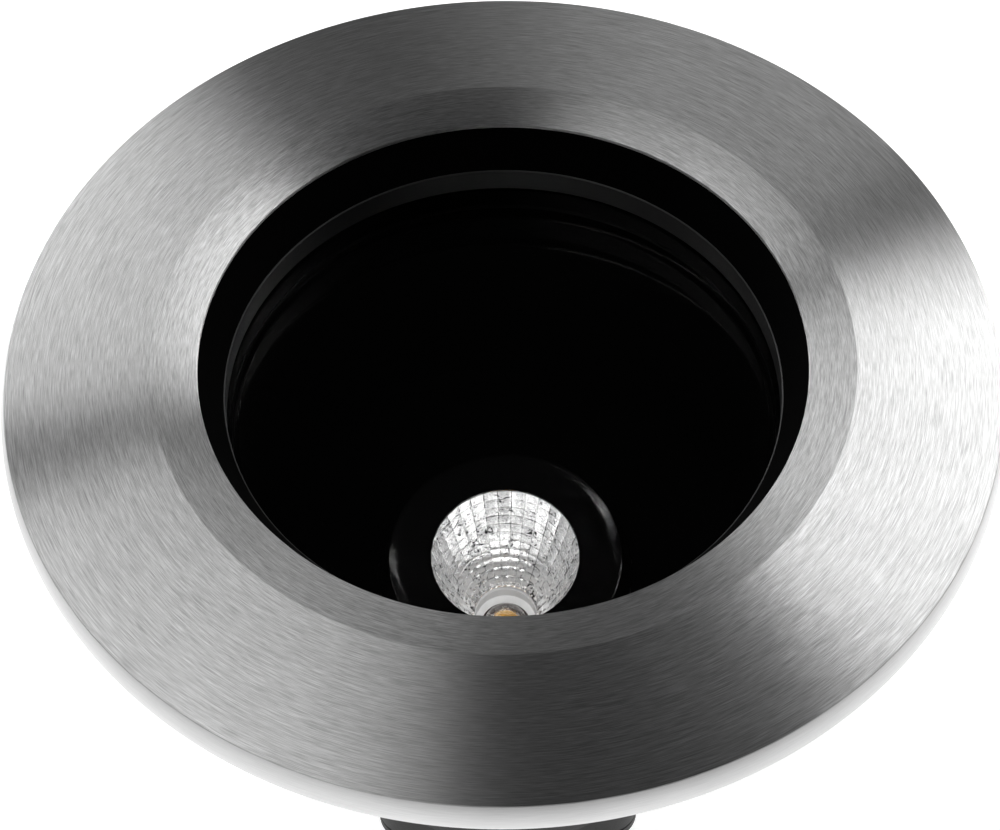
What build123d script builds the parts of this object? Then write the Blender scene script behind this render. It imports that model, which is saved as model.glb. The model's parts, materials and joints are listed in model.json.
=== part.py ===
from build123d import *
import math
import os

# Recessed garden uplight, in millimetres, +Z up.
# The origin is the centre of the bolt circle, on the underside of the mounting flange.
# The light shines up. The near side, towards which the lamp head leans, is -Y.

# Fits and thicknesses that many pieces share
THREAD_FIT = 0.03
PART_GAP = 0.3
SCREW_HOLE_FIT = 0.25
SHEET = 2.0
SOCKET_SHARE = 0.8
TAP_DEPTH = 2.0

# Cover ring
RIM_RADIUS = 120.0
RIM_HEIGHT = 9.2
EDGE_BULGE = 1.3
EDGE_BULGE_HEIGHT = 5.1
EDGE_FOOT_FLARE = 0.7
LIGHT_HOLE_RADIUS = 73.0
LAND_WIDTH = 11.7
CREST_RISE = 5.3
LAND_DROP = 1.8
HOLE_LIP = 1.0
LIP_UNDERCUT = 0.9
RING_WALL = 3.5
EDGE_WALL = 3.2
SKIRT_WALL = 3.0
RING_GASKET = 1.0
COLLAR_SHELL = 2.9
COLLAR_TAPER = 5.3

# Leaf clips of the cover ring
CLIP_COUNT = 3
CLIP_WIDTH = 12.0
CLIP_LEAF = 0.8
CLIP_REACH = 3.5
CLIP_FLARE = 1.6
CLIP_PAD = 6.0

# Glass, its frame and its seals
FRAME_BORE_HEIGHT = 6.8
FRAME_STEP = 1.4
FRAME_EDGE = 0.3
FRAME_FLANGE = 3.4
FRAME_PLUG_WALL = 4.6
FRAME_GASKET = 1.0
FRAME_GASKET_WIDTH = 5.0
GLASS_THICKNESS = 10.0
GLASS_OVERLAP = 4.3
GLASS_EDGE = 0.6
UPPER_GASKET = 0.8
LOWER_GASKET = 1.0
GASKET_SETBACK = 0.5
FRAME_SCREW_COUNT = 6
FRAME_SCREW_SETBACK = 11.4
FRAME_SCREW_EDGE = 4.5

# Cast pot with its mounting flange
FLANGE_MARGIN = 11.5
FLANGE_THICKNESS = 4.0
FLANGE_BOLT_EDGE = 6.0
FLANGE_BOLT_COUNT = 3
FLANGE_BOLT_HOLE = 2.75
SEAT_WALL = 4.4
SEAT_FLOOR = 4.0
POT_BORE_INSET = 0.7
POT_WALL = 4.0
LEDGE_WIDTH = 5.0
LEDGE_DEPTH = 5.0
WELL_BORE_RADIUS = 41.0
WELL_CONE = 21.5
WELL_FLOOR = 6.0
CONE_THINNING = 3.0
GUSSET_COUNT = 6
GUSSET_REACH = 13.0
GUSSET_THICKNESS = 4.0
GUSSET_ROOT = 1.0
POT_FILLET = 2.0
LINER_WALL = 1.2

# Lamp head, in its own frame: the tilt axis is at height 0
PIVOT_DEPTH = 86.3
REST_TILT = 7.0
TILT_LIMIT = 15.0
SWING_CLEARANCE = 2.4
BALL_RADIUS = 34.2
BALL_TOP = 15.0
BALL_BOTTOM = 8.0
BALL_SHOULDER = 1.5
CROWN_START = 27.3
CROWN_CURVE = 25.0
CROWN_SLOPE = 15.0
BALL_BORE_RADIUS = 28.0
BALL_LEDGE = 5.0
MOUTH_LIP = 0.8
REFLECTOR_MOUTH = 19.5
REFLECTOR_NECK = 8.6
REFLECTOR_DEPTH = 35.5
REFLECTOR_WALL = 0.9
REFLECTOR_FLANGE = 1.2
NECK_COLLAR = 0.5
NECK_GAP = 1.7
FACET_COLUMNS = 32
FACET_ROWS = 11
DECK_DROP = 2.0
DECK_CLEARANCE = 0.4

# LED, its holder and its heatsink
LED_BOARD = 16.0
LED_BOARD_THICKNESS = 1.0
PHOSPHOR_RADIUS = 3.4
PHOSPHOR_HEIGHT = 0.4
LED_DOME_RADIUS = 6.2
THERMAL_PAD = 0.3
HOLDER_RADIUS = 16.5
HOLDER_THICKNESS = 2.9
HOLDER_WALL = 1.4
HOLDER_WELL = 8.5
HOLDER_WELL_DEPTH = 3.9
HOLDER_SLOPE = 1.5
HOLDER_WINDOW = 6.9
HOLDER_SCREW_CIRCLE = 12.9
SINK_RADIUS = 26.0
SINK_BASE = 4.0
FIN_HEIGHT = 10.1
FIN_THICKNESS = 1.6
FIN_PITCH = 4.8
FIN_COUNT = 9
SINK_RECESS_RADIUS = 12.0
SINK_RECESS_DEPTH = 5.0
POST_CIRCLE = 24.6
POST_COUNT = 3
POST_FLATS = 5.0

# Tilt pivots and yoke
BOSS_RADIUS = 4.2
TILT_WASHER = 0.3
TILT_SHANK = 2.0
TILT_RUNNING_FIT = 0.06
TILT_HEAD_RADIUS = 3.8
TILT_HEAD_HEIGHT = 2.2
YOKE_SPREAD = 36.0
YOKE_WIDTH = 16.0
YOKE_DISC_RADIUS = 24.0
YOKE_EAR_CLEARANCE = 0.7
YOKE_EAR_CHAMFER = 4.0

# Pan spindle and its stop
SPINDLE_RADIUS = 5.5
SPINDLE_BORE = 3.2
SPINDLE_FLANGE_RADIUS = 9.0
SPINDLE_FLANGE = 1.5
SPINDLE_TIP = 0.3
PAN_RUNNING_FIT = 0.06
PAN_SPACER_RADIUS = 12.0
PAN_SPACER = 3.0
SPRING_WASHER = 0.5
SPRING_WASHER_RADIUS = 8.2
PAN_NUT_FLATS = 15.0
PAN_NUT = 2.5
STOP_CIRCLE = 20.0
STOP_RADIUS = 1.5
STOP_SINK = 3.0

# Driver box
BOX_WIDTH = 76.0
BOX_DEPTH = 82.0
BOX_FRONT = 18.0
BOX_HEIGHT = 42.0
BOX_WALL = 3.5
BOX_ROOF = 4.0
BOX_CORNER = 9.0
BOX_GASKET = 1.0
BOX_GASKET_INSET = 3.0
BOX_GASKET_BACK = 26.0
BOX_GASKET_CORNER = 6.0
BOX_SCREW_INSET = 4.0
BOX_SCREW_STEP = 14.5
BOX_SCREW_STRAP_GAP = 5.0
BOX_BOSS_RADIUS = 4.6
BOX_BOSS_INSET = 7.0
BASE_GASKET = 1.0
BASE_PLATE = 4.0
BASE_CHAMFER = 1.0
BASE_SCREW_GRIP = 12.0

# Driver, its strap and the terminal block
DRIVER_HEIGHT = 22.0
DRIVER_EDGE = 1.5
STRAP_WIDTH = 14.0
STRAP_SHEET = 1.2
STRAP_EAR = 6.8
STRAP_CLEARANCE = 0.5
TERMINAL_DEPTH = 12.0
TERMINAL_HEIGHT = 14.0
TERMINAL_GAP = 3.0
TERMINAL_SIDE = 7.5
TERMINAL_CLEARANCE = 1.7
TERMINAL_EAR = (7.0, 8.0, 3.0)
TERMINAL_POLES = 5
TERMINAL_HOLE = 1.9
INPUT_LEAD_RADIUS = 1.1
INPUT_LEAD_DROP = 9.5
OUTPUT_LEAD_RADIUS = 2.0
OUTPUT_LEAD_BEND = 8.5
OUTPUT_LEAD_STUB = 1.5
GROMMET_RADIUS = 4.5
GROMMET_FLANGE = 6.5
GROMMET_LIP = 1.2

# Cable glands, vent and earth
GLAND_CLEARANCE = 0.5
GLAND_DROP = 24.0
GLAND_THREAD = 8.0
GLAND_FLATS = 22.0
GLAND_FLANGE = 5.0
GLAND_NECK_RADIUS = 8.2
GLAND_NECK = 9.0
GLAND_BORE = 6.2
GLAND_SEAL_LENGTH = 10.0
CABLE_RADIUS = 4.0
GLAND_NUT_LENGTH = 14.0
GLAND_MOUTH = 4.6
GLAND_LOCKNUT = 3.5
LOCKNUT_FLATS = 20.0
VENT_RADIUS = 7.0
VENT_THREAD = 5.0
VENT_HEIGHT = 5.0
VENT_NOSE = 2.0
VENT_CHAMFER = 1.0
VENT_SLOTS = 8
VENT_SLOT = (2.0, 1.0)
VENT_SHIFT = 30.0
VENT_DROP = 20.0
EARTH_INSET = (12.5, 10.5)
CUP_WASHER = 1.0

# Screws: thread radius, head radius, head height
M3 = (1.5, 2.6, 2.0)
M4 = (2.0, 3.5, 2.6)

# Heights worked out from the values above
FLANGE_TOP = FLANGE_THICKNESS
GROUND = FLANGE_TOP + FRAME_GASKET
RIM_TOP = GROUND + RIM_HEIGHT
CREST_TOP = RIM_TOP + CREST_RISE
HOLE_TOP = CREST_TOP - LAND_DROP
FRAME_TOP = GROUND + FRAME_FLANGE
BORE_TOP = GROUND + FRAME_STEP
FRAME_FOOT = BORE_TOP - FRAME_BORE_HEIGHT
GLASS_TOP = FRAME_FOOT - UPPER_GASKET
GLASS_FOOT = GLASS_TOP - GLASS_THICKNESS
SEAT_TOP = GLASS_FOOT - LOWER_GASKET
SKIRT_FOOT = FRAME_TOP + RING_GASKET
PIVOT = -PIVOT_DEPTH
DECK_TOP = PIVOT + BALL_LEDGE + DECK_DROP
DECK_FOOT = DECK_TOP - SHEET
MOUTH_TOP = BALL_TOP - MOUTH_LIP
NECK_TOP = MOUTH_TOP - REFLECTOR_DEPTH
NECK_FOOT = NECK_TOP - NECK_COLLAR
HOLDER_TOP = NECK_FOOT - NECK_GAP
BOARD_TOP = HOLDER_TOP - HOLDER_WELL_DEPTH - HOLDER_SLOPE
SINK_TOP = BOARD_TOP - LED_BOARD_THICKNESS - THERMAL_PAD
HOLDER_SEAT = SINK_TOP + HOLDER_THICKNESS
FIN_TOP = SINK_TOP - SINK_BASE
FIN_FOOT = FIN_TOP - FIN_HEIGHT
TILT_RANGE = math.radians(TILT_LIMIT)
HEAD_REACH = -FIN_FOOT * math.cos(TILT_RANGE) + SINK_RADIUS * math.sin(TILT_RANGE)
YOKE_TOP = PIVOT - HEAD_REACH - SWING_CLEARANCE
YOKE_FOOT = YOKE_TOP - SHEET
WELL_TOP = YOKE_FOOT - PAN_SPACER
POT_FOOT = WELL_TOP - WELL_FLOOR
LEDGE_TOP = DECK_FOOT
CONE_TOP = LEDGE_TOP - LEDGE_DEPTH
CONE_FOOT = CONE_TOP - WELL_CONE
BOX_TOP = POT_FOOT - BOX_GASKET
BOX_CEILING = BOX_TOP - BOX_ROOF
BOX_FOOT = BOX_TOP - BOX_HEIGHT
BASE_TOP = BOX_FOOT - BASE_GASKET
BASE_FOOT = BASE_TOP - BASE_PLATE

# Radii and places worked out from the values above
CREST_RADIUS = LIGHT_HOLE_RADIUS + LAND_WIDTH
FRAME_BORE_RADIUS = LIGHT_HOLE_RADIUS - COLLAR_TAPER
SKIRT_INNER = LIGHT_HOLE_RADIUS + COLLAR_SHELL + 2 * PART_GAP
SKIRT_OUTER = SKIRT_INNER + SKIRT_WALL
GLASS_RADIUS = FRAME_BORE_RADIUS + GLASS_OVERLAP
PLUG_RADIUS = FRAME_BORE_RADIUS + FRAME_PLUG_WALL
SEAT_RADIUS = PLUG_RADIUS + PART_GAP
SEAT_OUTER = SEAT_RADIUS + SEAT_WALL
FRAME_SCREW_CIRCLE = SEAT_RADIUS + FRAME_SCREW_SETBACK
FRAME_RADIUS = FRAME_SCREW_CIRCLE + FRAME_SCREW_EDGE
FLANGE_RADIUS = FRAME_RADIUS + FLANGE_MARGIN
FLANGE_BOLT_CIRCLE = FLANGE_RADIUS - FLANGE_BOLT_EDGE
POT_BORE_RADIUS = FRAME_BORE_RADIUS - POT_BORE_INSET
POT_RADIUS = POT_BORE_RADIUS + POT_WALL
WELL_RADIUS = WELL_BORE_RADIUS + POT_WALL
LEDGE_BORE = POT_BORE_RADIUS - LEDGE_WIDTH
BOSS_END = YOKE_SPREAD - TILT_WASHER
YOKE_OUTER = YOKE_SPREAD + SHEET
BOX_MIDDLE = BOX_DEPTH / 2 - BOX_FRONT
BOX_BACK = BOX_DEPTH - BOX_FRONT
BOX_INSIDE = BOX_WIDTH / 2 - BOX_WALL
BOX_FRONT_INSIDE = BOX_WALL - BOX_FRONT
GLAND_REACH = BOX_WALL + GLAND_LOCKNUT + PART_GAP
TERMINAL_BACK = BOX_BACK - GLAND_REACH - TERMINAL_CLEARANCE
TERMINAL_MIDDLE = TERMINAL_BACK - TERMINAL_DEPTH / 2
TERMINAL_WIDTH = 2 * (BOX_INSIDE - TERMINAL_SIDE - TERMINAL_EAR[0])
DRIVER_FRONT = OUTPUT_LEAD_BEND + OUTPUT_LEAD_STUB
DRIVER_BACK = TERMINAL_BACK - TERMINAL_DEPTH - TERMINAL_GAP
DRIVER_MIDDLE = (DRIVER_FRONT + DRIVER_BACK) / 2
DRIVER_WIDTH = 2 * (BOX_INSIDE - STRAP_CLEARANCE - STRAP_EAR - STRAP_SHEET)
EARTH_PLACE = (EARTH_INSET[0] - BOX_INSIDE, BOX_FRONT_INSIDE + EARTH_INSET[1])
BOX_BOSS_SIDE = BOX_WIDTH / 2 - BOX_BOSS_INSET - BOX_BOSS_RADIUS
GLAND_SHIFT = BOX_BOSS_SIDE - LOCKNUT_FLATS / 2 - GLAND_CLEARANCE
GLAND_HEIGHT = BOX_TOP - GLAND_DROP


# General shapes

def outline_face(points):
    """Closed outline of (x, z) points, as a face in the XZ plane."""
    return make_face(Plane.XZ * Polyline(*points, close=True))


def turned(*points):
    """Closed outline of (radius, height) points, turned about the Z axis."""
    return revolve(outline_face(points), Axis.Z)


def ring(inner, outer, foot, top):
    """Flat-sided ring about the Z axis."""
    return turned((inner, foot), (outer, foot), (outer, top), (inner, top))


def rod(radius, foot, top):
    """Upright round bar on the Z axis."""
    bar = Cylinder(radius, top - foot, align=(Align.CENTER, Align.CENTER, Align.MIN))
    return Pos(0, 0, foot) * bar


def hex_bar(flats, foot, top):
    """Upright hexagonal bar on the Z axis, measured across its flats."""
    section = RegularPolygon(flats / 2, 6, major_radius=False)
    return Pos(0, 0, foot) * extrude(section, top - foot)


def block(width, depth, foot, top):
    """Upright rectangular block, centred on the Z axis."""
    solid = Box(width, depth, top - foot, align=(Align.CENTER, Align.CENTER, Align.MIN))
    return Pos(0, 0, foot) * solid


def rounded_block(width, depth, corner, foot, top):
    """Upright block with rounded corners, centred on the Z axis."""
    section = RectangleRounded(width, depth, corner)
    return Pos(0, 0, foot) * extrude(section, top - foot)


def around(count, radius, first=0.0):
    """Evenly spaced places on a circle, each facing outwards."""
    return [Rot(0, 0, first + 360 * i / count) * Pos(radius, 0, 0) for i in range(count)]


def corners(width, depth, middle=0.0):
    """The four corners of a rectangle whose middle is at (0, middle)."""
    return [Pos(x * width / 2, middle + y * depth / 2, 0) for x in (-1, 1) for y in (-1, 1)]


def copies(shape, places):
    """One separate solid at each place."""
    return Compound(children=[place * shape for place in places])


def cut_each(solid, tool, places):
    """The solid with the tool cut out at each place."""
    for place in places:
        solid = solid - place * tool
    return solid


def screw(size, length, seat):
    """Socket screw on the Z axis: head above the seat height, shank below it."""
    thread, head, height = size
    solid = rod(head, seat, seat + height) + rod(thread, seat - length, seat)
    socket_foot = seat + height - SOCKET_SHARE * thread
    return solid - hex_bar(2 * SOCKET_SHARE * thread, socket_foot, seat + height)


# Cover ring and recess

def flank_height(radius):
    """Height of the ring's sloping flank at a radius."""
    share = (RIM_RADIUS - radius) / (RIM_RADIUS - CREST_RADIUS)
    return RIM_TOP + CREST_RISE * share


def ring_section():
    """Section of the cover ring: land, crest, flank, swelling edge, and the hollow below."""
    inner_edge = RIM_RADIUS - EDGE_WALL
    rim = (RIM_RADIUS, RIM_TOP)
    foot = (RIM_RADIUS + EDGE_FOOT_FLARE, GROUND)
    swell = (RIM_RADIUS + EDGE_BULGE, GROUND + EDGE_BULGE_HEIGHT)
    ceiling = CREST_TOP - RING_WALL
    under_lip = HOLE_TOP - HOLE_LIP
    path = Polyline(
        foot,
        (inner_edge, GROUND),
        (inner_edge, flank_height(inner_edge) - RING_WALL),
        (CREST_RADIUS, ceiling),
        (SKIRT_OUTER, ceiling),
        (SKIRT_OUTER, SKIRT_FOOT),
        (SKIRT_INNER, SKIRT_FOOT),
        (SKIRT_INNER, under_lip - LIP_UNDERCUT),
        (LIGHT_HOLE_RADIUS, under_lip),
        (LIGHT_HOLE_RADIUS, HOLE_TOP),
        (CREST_RADIUS, CREST_TOP),
        rim,
    )
    edge = ThreePointArc(rim, swell, foot)
    return make_face(Plane.XZ * (path + edge))


def clip_places():
    """Places of the leaf clips, just outside the flange, between the bolts."""
    return around(CLIP_COUNT, FLANGE_RADIUS + PART_GAP, 180 / FLANGE_BOLT_COUNT)


def trim_ring():
    """Brushed cover ring with a pad under the flank for each leaf clip."""
    pad_foot = CREST_TOP - RING_WALL - CLIP_PAD
    solid = revolve(ring_section(), Axis.Z)
    near = flank_height(FLANGE_RADIUS + PART_GAP + CLIP_LEAF) - RING_WALL / 2
    far = flank_height(FLANGE_RADIUS + PART_GAP + CLIP_LEAF + CLIP_PAD) - RING_WALL / 2
    pad_face = outline_face([
        (CLIP_LEAF, pad_foot),
        (CLIP_LEAF + CLIP_PAD, pad_foot),
        (CLIP_LEAF + CLIP_PAD, far),
        (CLIP_LEAF, near),
    ])
    pad = extrude(pad_face, CLIP_WIDTH / 2, both=True)
    for place in clip_places():
        solid = solid + place * pad
    return solid


def ring_clips():
    """Leaf springs on the pads, gripping the flange's rim, each with a flared tip."""
    top = flank_height(FLANGE_RADIUS + PART_GAP + CLIP_LEAF) - RING_WALL - PART_GAP
    tip = -CLIP_REACH
    leaf_face = outline_face([
        (0, top),
        (CLIP_LEAF, top),
        (CLIP_LEAF, 0),
        (CLIP_LEAF + CLIP_FLARE, tip),
        (CLIP_FLARE, tip),
        (0, 0),
    ])
    return copies(extrude(leaf_face, CLIP_WIDTH / 2, both=True), clip_places())


def ring_gasket():
    """Soft ring that the skirt of the cover ring rests on."""
    return ring(SKIRT_INNER, SKIRT_OUTER, FRAME_TOP, SKIRT_FOOT)


def recess_collar():
    """Matt black cone from under the hole's lip down to the glass frame."""
    lip = HOLE_TOP - HOLE_LIP - PART_GAP
    outer = LIGHT_HOLE_RADIUS + COLLAR_SHELL
    step = FRAME_BORE_RADIUS + COLLAR_SHELL
    shoulder = FRAME_TOP + PART_GAP
    return turned(
        (FRAME_BORE_RADIUS + FRAME_EDGE, BORE_TOP),
        (step, BORE_TOP),
        (step, shoulder),
        (outer, shoulder + outer - step),
        (outer, lip - LIP_UNDERCUT),
        (LIGHT_HOLE_RADIUS + PART_GAP, lip - PART_GAP / 2),
    )


# Glass and its clamp

def frame_screw_places():
    return around(FRAME_SCREW_COUNT, FRAME_SCREW_CIRCLE, 180 / FRAME_SCREW_COUNT)


def glass_frame():
    """Black clamp ring: its bore is the step that shows deep in the recess."""
    step = FRAME_BORE_RADIUS + COLLAR_SHELL + PART_GAP
    solid = turned(
        (FRAME_BORE_RADIUS, FRAME_FOOT),
        (PLUG_RADIUS, FRAME_FOOT),
        (PLUG_RADIUS, GROUND),
        (FRAME_RADIUS, GROUND),
        (FRAME_RADIUS, FRAME_TOP),
        (step, FRAME_TOP),
        (step, BORE_TOP),
        (FRAME_BORE_RADIUS + FRAME_EDGE, BORE_TOP),
        (FRAME_BORE_RADIUS, BORE_TOP - FRAME_EDGE),
    )
    return cut_each(solid, rod(M4[0] + SCREW_HOLE_FIT, GROUND, FRAME_TOP), frame_screw_places())


def frame_screws():
    """Screws through the clamp ring and the whole flange."""
    return copies(screw(M4, FRAME_TOP, FRAME_TOP), frame_screw_places())


def frame_gasket():
    """Flat seal between the clamp ring and the flange, inside the screws."""
    inner = SEAT_RADIUS + PART_GAP
    return ring(inner, inner + FRAME_GASKET_WIDTH, FLANGE_TOP, GROUND)


def glass_gasket_upper():
    return ring(FRAME_BORE_RADIUS + GASKET_SETBACK, GLASS_RADIUS, GLASS_TOP, FRAME_FOOT)


def glass_pane():
    """Toughened pane with bevelled edges."""
    inner = GLASS_RADIUS - GLASS_EDGE
    return turned(
        (0, GLASS_FOOT),
        (inner, GLASS_FOOT),
        (GLASS_RADIUS, GLASS_FOOT + GLASS_EDGE),
        (GLASS_RADIUS, GLASS_TOP - GLASS_EDGE),
        (inner, GLASS_TOP),
        (0, GLASS_TOP),
    )


def glass_gasket_lower():
    return ring(POT_BORE_RADIUS + GASKET_SETBACK, GLASS_RADIUS, SEAT_TOP, GLASS_FOOT)


# Cast pot, its liner and its deck

def pot_body():
    """Turned shape of the pot: flange, glass seat, wide chamber, cone and narrow well."""
    well_hole = SPINDLE_RADIUS + THREAD_FIT
    flange_hole = SPINDLE_FLANGE_RADIUS + THREAD_FIT
    seat_foot = SEAT_TOP - SEAT_FLOOR
    return turned(
        (SEAT_RADIUS, FLANGE_TOP),
        (FLANGE_RADIUS, FLANGE_TOP),
        (FLANGE_RADIUS, 0),
        (SEAT_OUTER, 0),
        (SEAT_OUTER, seat_foot),
        (POT_RADIUS, seat_foot - SEAT_OUTER + POT_RADIUS),
        (POT_RADIUS, CONE_TOP),
        (WELL_RADIUS, CONE_FOOT),
        (WELL_RADIUS, POT_FOOT + POT_FILLET),
        (WELL_RADIUS - POT_FILLET, POT_FOOT),
        (flange_hole, POT_FOOT),
        (flange_hole, POT_FOOT + SPINDLE_FLANGE),
        (well_hole, POT_FOOT + SPINDLE_FLANGE),
        (well_hole, WELL_TOP),
        (WELL_BORE_RADIUS, WELL_TOP),
        (WELL_BORE_RADIUS, CONE_FOOT + CONE_THINNING),
        (LEDGE_BORE, CONE_TOP),
        (LEDGE_BORE, LEDGE_TOP),
        (POT_BORE_RADIUS, LEDGE_TOP),
        (POT_BORE_RADIUS, SEAT_TOP),
        (SEAT_RADIUS, SEAT_TOP),
    )


def gusset():
    """Rib between the flange and the glass seat's wall, on the +X side."""
    root = SEAT_OUTER - GUSSET_ROOT
    face = outline_face([(root, 0), (SEAT_OUTER + GUSSET_REACH, 0), (root, -GUSSET_REACH)])
    return extrude(face, GUSSET_THICKNESS / 2, both=True)


def box_screw_places():
    """Places of the box's screws: a wide pair at the back, a closer pair at the front."""
    wide = BOX_INSIDE - BOX_SCREW_INSET
    front = (wide - BOX_SCREW_STEP, BOX_FRONT_INSIDE + BOX_SCREW_INSET)
    back = (wide, DRIVER_MIDDLE - STRAP_WIDTH / 2 - BOX_SCREW_STRAP_GAP)
    return [Pos(side * x, y, 0) for x, y in (front, back) for side in (-1, 1)]


def housing():
    """Cast pot with gussets, flange holes and tapped holes."""
    solid = pot_body()
    for place in around(GUSSET_COUNT, 0, 180 / GUSSET_COUNT):
        solid = solid + place * gusset()
    bolts = around(FLANGE_BOLT_COUNT, FLANGE_BOLT_CIRCLE)
    solid = cut_each(solid, rod(FLANGE_BOLT_HOLE, 0, FLANGE_TOP), bolts)
    tapped = rod(M4[0] + THREAD_FIT, 0, FLANGE_TOP)
    solid = cut_each(solid, tapped, frame_screw_places())
    blind = rod(M4[0] + THREAD_FIT, POT_FOOT, WELL_TOP - SPINDLE_FLANGE)
    solid = cut_each(solid, blind, box_screw_places())
    pin_hole = rod(STOP_RADIUS + THREAD_FIT, WELL_TOP - STOP_SINK, WELL_TOP)
    return solid - Pos(0, -STOP_CIRCLE, 0) * pin_hole


def chamber_liner():
    """Black tube that lines the chamber and stands on the deck."""
    outer = POT_BORE_RADIUS - PART_GAP
    return ring(outer - LINER_WALL, outer, DECK_TOP, GLASS_FOOT - PART_GAP)


def deck_plate():
    """Black floor of the chamber, with the round opening for the lamp head."""
    opening = math.sqrt(BALL_RADIUS ** 2 - BALL_LEDGE ** 2) + DECK_CLEARANCE
    return ring(opening, POT_BORE_RADIUS - PART_GAP, DECK_FOOT, DECK_TOP)


# Lamp head

def seat_head(shape):
    """A piece of the lamp head, moved to the tilt axis and leant to its rest angle."""
    return Pos(0, 0, PIVOT) * Rot(REST_TILT, 0, 0) * shape


def post_places():
    return around(POST_COUNT, POST_CIRCLE, 90)


def crowned_blank():
    """Turned blank for the head's front: flat in the middle, then curving gently down."""
    slope = math.radians(CROWN_SLOPE)
    arc = [
        (CROWN_START + CROWN_CURVE * math.sin(a), BALL_TOP - CROWN_CURVE * (1 - math.cos(a)))
        for a in (0, slope / 2, slope)
    ]
    path = Polyline(
        arc[2],
        (BALL_RADIUS, arc[2][1]),
        (BALL_RADIUS, -BALL_BOTTOM),
        (0, -BALL_BOTTOM),
        (0, BALL_TOP),
        arc[0],
    )
    return revolve(make_face(Plane.XZ * (path + ThreePointArc(*arc))), Axis.Z)


def lamp_collar():
    """Glossy ball-shaped front of the head, with the two pivot bosses."""
    ball = Sphere(BALL_RADIUS) & crowned_blank()
    circles = ball.edges().filter_by(lambda edge: edge.is_closed).sort_by(Axis.Z)
    ball = fillet(circles[-2], BALL_SHOULDER)
    bar = Rot(0, 90, 0) * rod(BOSS_RADIUS, -BOSS_END, BOSS_END)
    hollow = turned(
        (0, -BALL_RADIUS),
        (BALL_BORE_RADIUS, -BALL_RADIUS),
        (BALL_BORE_RADIUS, BALL_LEDGE),
        (REFLECTOR_MOUTH + REFLECTOR_WALL + REFLECTOR_FLANGE, BALL_LEDGE),
        (REFLECTOR_MOUTH + REFLECTOR_WALL + REFLECTOR_FLANGE, MOUTH_TOP),
        (REFLECTOR_MOUTH, MOUTH_TOP),
        (REFLECTOR_MOUTH, BALL_TOP),
        (0, BALL_TOP),
    )
    pivot_hole = Rot(0, 90, 0) * rod(TILT_SHANK + THREAD_FIT, -BOSS_END, BOSS_END)
    return ball + bar - hollow - pivot_hole


def bowl_radius(share):
    """Parabolic bowl: its radius at a share of the way from the neck to the mouth."""
    spread = REFLECTOR_MOUTH ** 2 - REFLECTOR_NECK ** 2
    return math.sqrt(REFLECTOR_NECK ** 2 + spread * share)


def reflector():
    """Bowl with flat facets inside, a smooth outside, a mouth flange and a short neck."""
    shares = [row / FACET_ROWS for row in range(FACET_ROWS + 1)]
    heights = [NECK_TOP + REFLECTOR_DEPTH * share for share in shares]
    turn = 180 / FACET_COLUMNS
    rows = [
        Pos(0, 0, height) * RegularPolygon(bowl_radius(share), FACET_COLUMNS, rotation=turn)
        for share, height in zip(shares, heights)
    ]
    facets = loft(rows, ruled=True)
    outside = [(bowl_radius(share) + REFLECTOR_WALL, z) for share, z in zip(shares, heights)]
    flange = REFLECTOR_MOUTH + REFLECTOR_WALL + REFLECTOR_FLANGE - PART_GAP / 2
    flange_foot = MOUTH_TOP - REFLECTOR_WALL
    mouth = outside[-1][0]
    body = turned(
        (0, NECK_FOOT),
        (outside[0][0], NECK_FOOT),
        *outside[:-1],
        (mouth, flange_foot),
        (flange, flange_foot),
        (flange, MOUTH_TOP),
        (0, MOUTH_TOP),
    )
    neck = REFLECTOR_NECK * math.cos(math.pi / FACET_COLUMNS)
    return body - facets - rod(neck, NECK_FOOT, NECK_TOP)


def holder_places():
    return around(2, HOLDER_SCREW_CIRCLE)


def cob_holder():
    """White ring that clamps the LED board: a deep round well, then a slope to the window."""
    board = LED_BOARD + PART_GAP
    well = turned(
        (0, BOARD_TOP),
        (HOLDER_WINDOW, BOARD_TOP),
        (HOLDER_WELL, BOARD_TOP + HOLDER_SLOPE),
        (HOLDER_WELL, HOLDER_TOP),
        (0, HOLDER_TOP),
    )
    solid = rod(HOLDER_RADIUS, SINK_TOP, HOLDER_SEAT)
    solid = solid + rod(HOLDER_WELL + HOLDER_WALL, SINK_TOP, HOLDER_TOP) - well
    solid = solid - block(board, board, SINK_TOP, BOARD_TOP)
    return cut_each(solid, rod(M3[0] + SCREW_HOLE_FIT, SINK_TOP, HOLDER_SEAT), holder_places())


def holder_screws():
    length = HOLDER_THICKNESS + SINK_BASE
    return copies(screw(M3, length, HOLDER_SEAT), holder_places())


def cob_board():
    return block(LED_BOARD, LED_BOARD, BOARD_TOP - LED_BOARD_THICKNESS, BOARD_TOP)


def phosphor_disc():
    """Yellow light-emitting disc, slightly domed at its edge."""
    top = BOARD_TOP + PHOSPHOR_HEIGHT
    return turned(
        (0, BOARD_TOP),
        (PHOSPHOR_RADIUS, BOARD_TOP),
        (PHOSPHOR_RADIUS - PHOSPHOR_HEIGHT, top),
        (0, top),
    )


def led_dome():
    """Clear dome over the phosphor, cast on the board."""
    blank = rod(LED_DOME_RADIUS, BOARD_TOP, BOARD_TOP + LED_DOME_RADIUS)
    return (Pos(0, 0, BOARD_TOP) * Sphere(LED_DOME_RADIUS) & blank) - phosphor_disc()


def thermal_pad():
    return block(LED_BOARD, LED_BOARD, SINK_TOP, SINK_TOP + THERMAL_PAD)


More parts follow.
